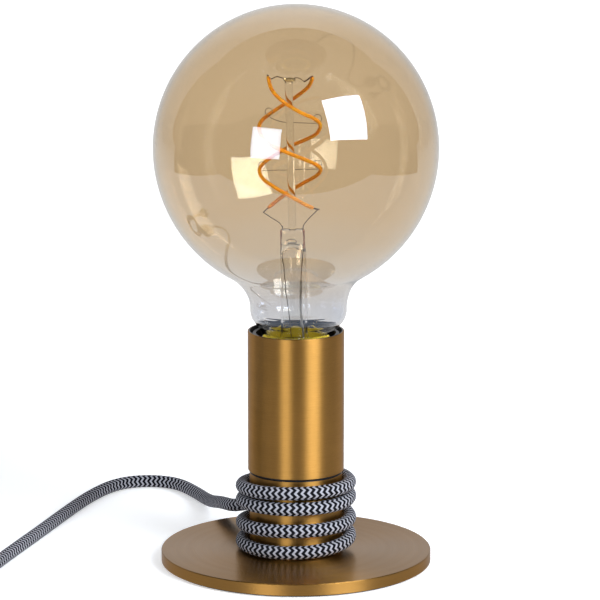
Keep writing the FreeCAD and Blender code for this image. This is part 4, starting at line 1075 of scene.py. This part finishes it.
# ---- floor, backdrop and lights ----
# The floor's own light: what the camera sees of it near the lamp and further away, the distances
# from the axis between which it changes, in millimetres, and what matt surfaces get.
FLOOR_WHITE = (0.41, 0.88)
FLOOR_FADE = (250.0, 1000.0)
FLOOR_GLOW = 0.37
# What rays straight through the glass see, and what mirrored ones see, near the lamp and aside.
IN_GLASS = 0.80
IN_GLOSS = (0.80, 0.42)
GLOSS_FADE = (300.0, 2500.0)
# The room beyond the table, and the light that it gives to matt surfaces.
ROOM = 0.07
FILL = 0.42
ROOM_COLOR = (0.90, 0.94, 1.0, 1.0)
# The mirrored table's sides and front edge, in millimetres, and the slope of the boards' edges.
TABLE_SIDE = 720.0
TABLE_FRONT = -400.0
BOARDS_SLOPE = 0.404
# The sweep, in metres: front, where it begins to curve, the curve's radius, half width, top.
SWEEP_FRONT, SWEEP_BACK, SWEEP_CURVE = -6.0, 2.0, 0.8
SWEEP_HALF, SWEEP_TOP = 5.0, 5.2
SWEEP_DROP = 0.0002


def straight_ray(n, path):
    """1 for a ray that has gone through two walls of glass or more, without a reflection."""
    plain = n.math("LESS_THAN", path.outputs["Glossy Depth"], 0.5)
    walls = n.math("GREATER_THAN", path.outputs["Transmission Depth"], 3.5)
    return n.math("MULTIPLY", n.math("MULTIPLY", path.outputs["Is Transmission Ray"], plain), walls)


def add_sweep():
    """A white sweep: the floor and the backdrop that curves up behind.

    What the brass and the glass mirror is a table with a front edge and sides, and white boards
    behind it."""
    n = material_nodes("sweep")
    vector, x, y, _ = n.place()
    cloud = n.noise(vector, 0.02, 3.0)
    tone = n.mix(cloud, (0.78, 0.78, 0.785, 1), (0.82, 0.82, 0.82, 1))
    aside = n.math("ABSOLUTE", x)
    table = n.math("LESS_THAN", aside, TABLE_SIDE)
    boards = n.math("GREATER_THAN", y, n.math("MULTIPLY", aside, BOARDS_SLOPE))
    behind_edge = n.math("GREATER_THAN", y, TABLE_FRONT)
    mirrored = n.math("MULTIPLY", behind_edge, n.math("MAXIMUM", table, boards))
    path = n.add("LightPath")
    seen = n.spread(n.reach(x, y), *FLOOR_FADE, *FLOOR_WHITE)
    level = n.spread(path.outputs["Is Camera Ray"], 0.0, 1.0, FLOOR_GLOW, seen)
    diffuse = n.add("BsdfDiffuse", {"Color": tone}).outputs[0]
    lit = n.add("AddShader", {0: diffuse, 1: n.glow(level)}).outputs[0]
    in_gloss = n.glow(n.spread(aside, *GLOSS_FADE, *IN_GLOSS))
    gloss = n.math("GREATER_THAN", path.outputs["Glossy Depth"], 0.5)
    gloss = n.math("MAXIMUM", gloss, path.outputs["Is Transmission Ray"])
    shown = n.blend(gloss, lit, n.blend(mirrored, n.glow(ROOM), in_gloss))
    n.show(n.blend(straight_ray(n, path), shown, n.glow(IN_GLASS)))
    profile = [(SWEEP_FRONT, 0.0), (SWEEP_BACK, 0.0)]
    steps = 12
    for k in range(1, steps + 1):
        a = math.pi / 2 * k / steps
        back = SWEEP_BACK + SWEEP_CURVE * math.sin(a)
        profile.append((back, SWEEP_CURVE - SWEEP_CURVE * math.cos(a)))
    profile.append((SWEEP_BACK + SWEEP_CURVE, SWEEP_TOP))
    sides = (-SWEEP_HALF, SWEEP_HALF)
    verts = [(side, back, up - SWEEP_DROP) for back, up in profile for side in sides]
    faces = [(2 * i, 2 * i + 1, 2 * i + 3, 2 * i + 2) for i in range(len(profile) - 1)]
    sweep = new_object("sweep", verts, faces)
    sweep.data.materials.append(n.owner)


def add_world():
    """A dim room; the camera, also through clear glass, sees white all round."""
    world = bpy.data.worlds.new("studio")
    bpy.context.scene.world = world
    n = Nodes(world, "OutputWorld")
    path = n.add("LightPath")
    fill = n.spread(path.outputs["Is Diffuse Ray"], 0.0, 1.0, ROOM, FILL)
    room = n.add("Background", {0: ROOM_COLOR, 1: fill}).outputs[0]
    white = n.add("Background", {0: WHITE, 1: 1.0}).outputs[0]
    in_glass = n.add("Background", {0: WHITE, 1: IN_GLASS}).outputs[0]
    seen = n.blend(path.outputs["Is Camera Ray"], room, white)
    n.show(n.blend(straight_ray(n, path), seen, in_glass))


# A softbox's face: its light in the middle and at the edge, and its darker line's place from the
# middle, half width and depth, all as parts of the face or of its light.
FACE_LIGHT = (1.25, 0.82)
LINE_AT, LINE_HALF, LINE_DEPTH = 0.462, 0.006, 0.35
DAYLIGHT = (0.87, 0.93, 1.0)
AIM = (0.0, 0.0, 0.18)


def softbox_face(data):
    """A softbox's face: brighter in the middle, with a thin darker line inside its edge."""
    n = Nodes(data, "OutputLight")
    split = n.add("SeparateXYZ", {0: n.add("NewGeometry").outputs["Parametric"]})
    offs = [n.math("ABSOLUTE", n.math("SUBTRACT", split.outputs[i], 0.5)) for i in (0, 1)]
    edge = n.math("MAXIMUM", *offs)
    level = n.spread(edge, 0.0, 0.5, *FACE_LIGHT)
    line = n.math("LESS_THAN", n.math("ABSOLUTE", n.math("SUBTRACT", edge, LINE_AT)), LINE_HALF)
    level = n.math("SUBTRACT", level, n.math("MULTIPLY", line, LINE_DEPTH))
    n.show(n.glow(level))


def add_light(name, toward, distance, size, power, roll):
    """A square softbox that faces the globe's middle from a direction, rolled by some degrees."""
    data = bpy.data.lights.new(name, "AREA")
    data.shape = "RECTANGLE"
    data.size = size
    data.size_y = size
    data.energy = power
    data.color = DAYLIGHT
    softbox_face(data)
    light = bpy.data.objects.new(name, data)
    aim = Vector(AIM)
    light.location = aim + Vector(toward).normalized() * distance
    rolled = Quaternion((0.0, 0.0, 1.0), math.radians(roll))
    turned = (aim - light.location).to_track_quat("-Z", "Y") @ rolled
    light.rotation_euler = turned.to_euler()
    light.visible_camera = False
    bpy.context.scene.collection.objects.link(light)


add_sweep()
add_world()
add_light("softbox_right", (0.623, -0.622, 0.474), 1.25, 0.70, 26.0, -6.5)
add_light("softbox_left", (-0.401, -0.893, 0.205), 1.8, 0.735, 14.5, 0.0)
bpy.context.scene.view_settings.view_transform = "Standard"
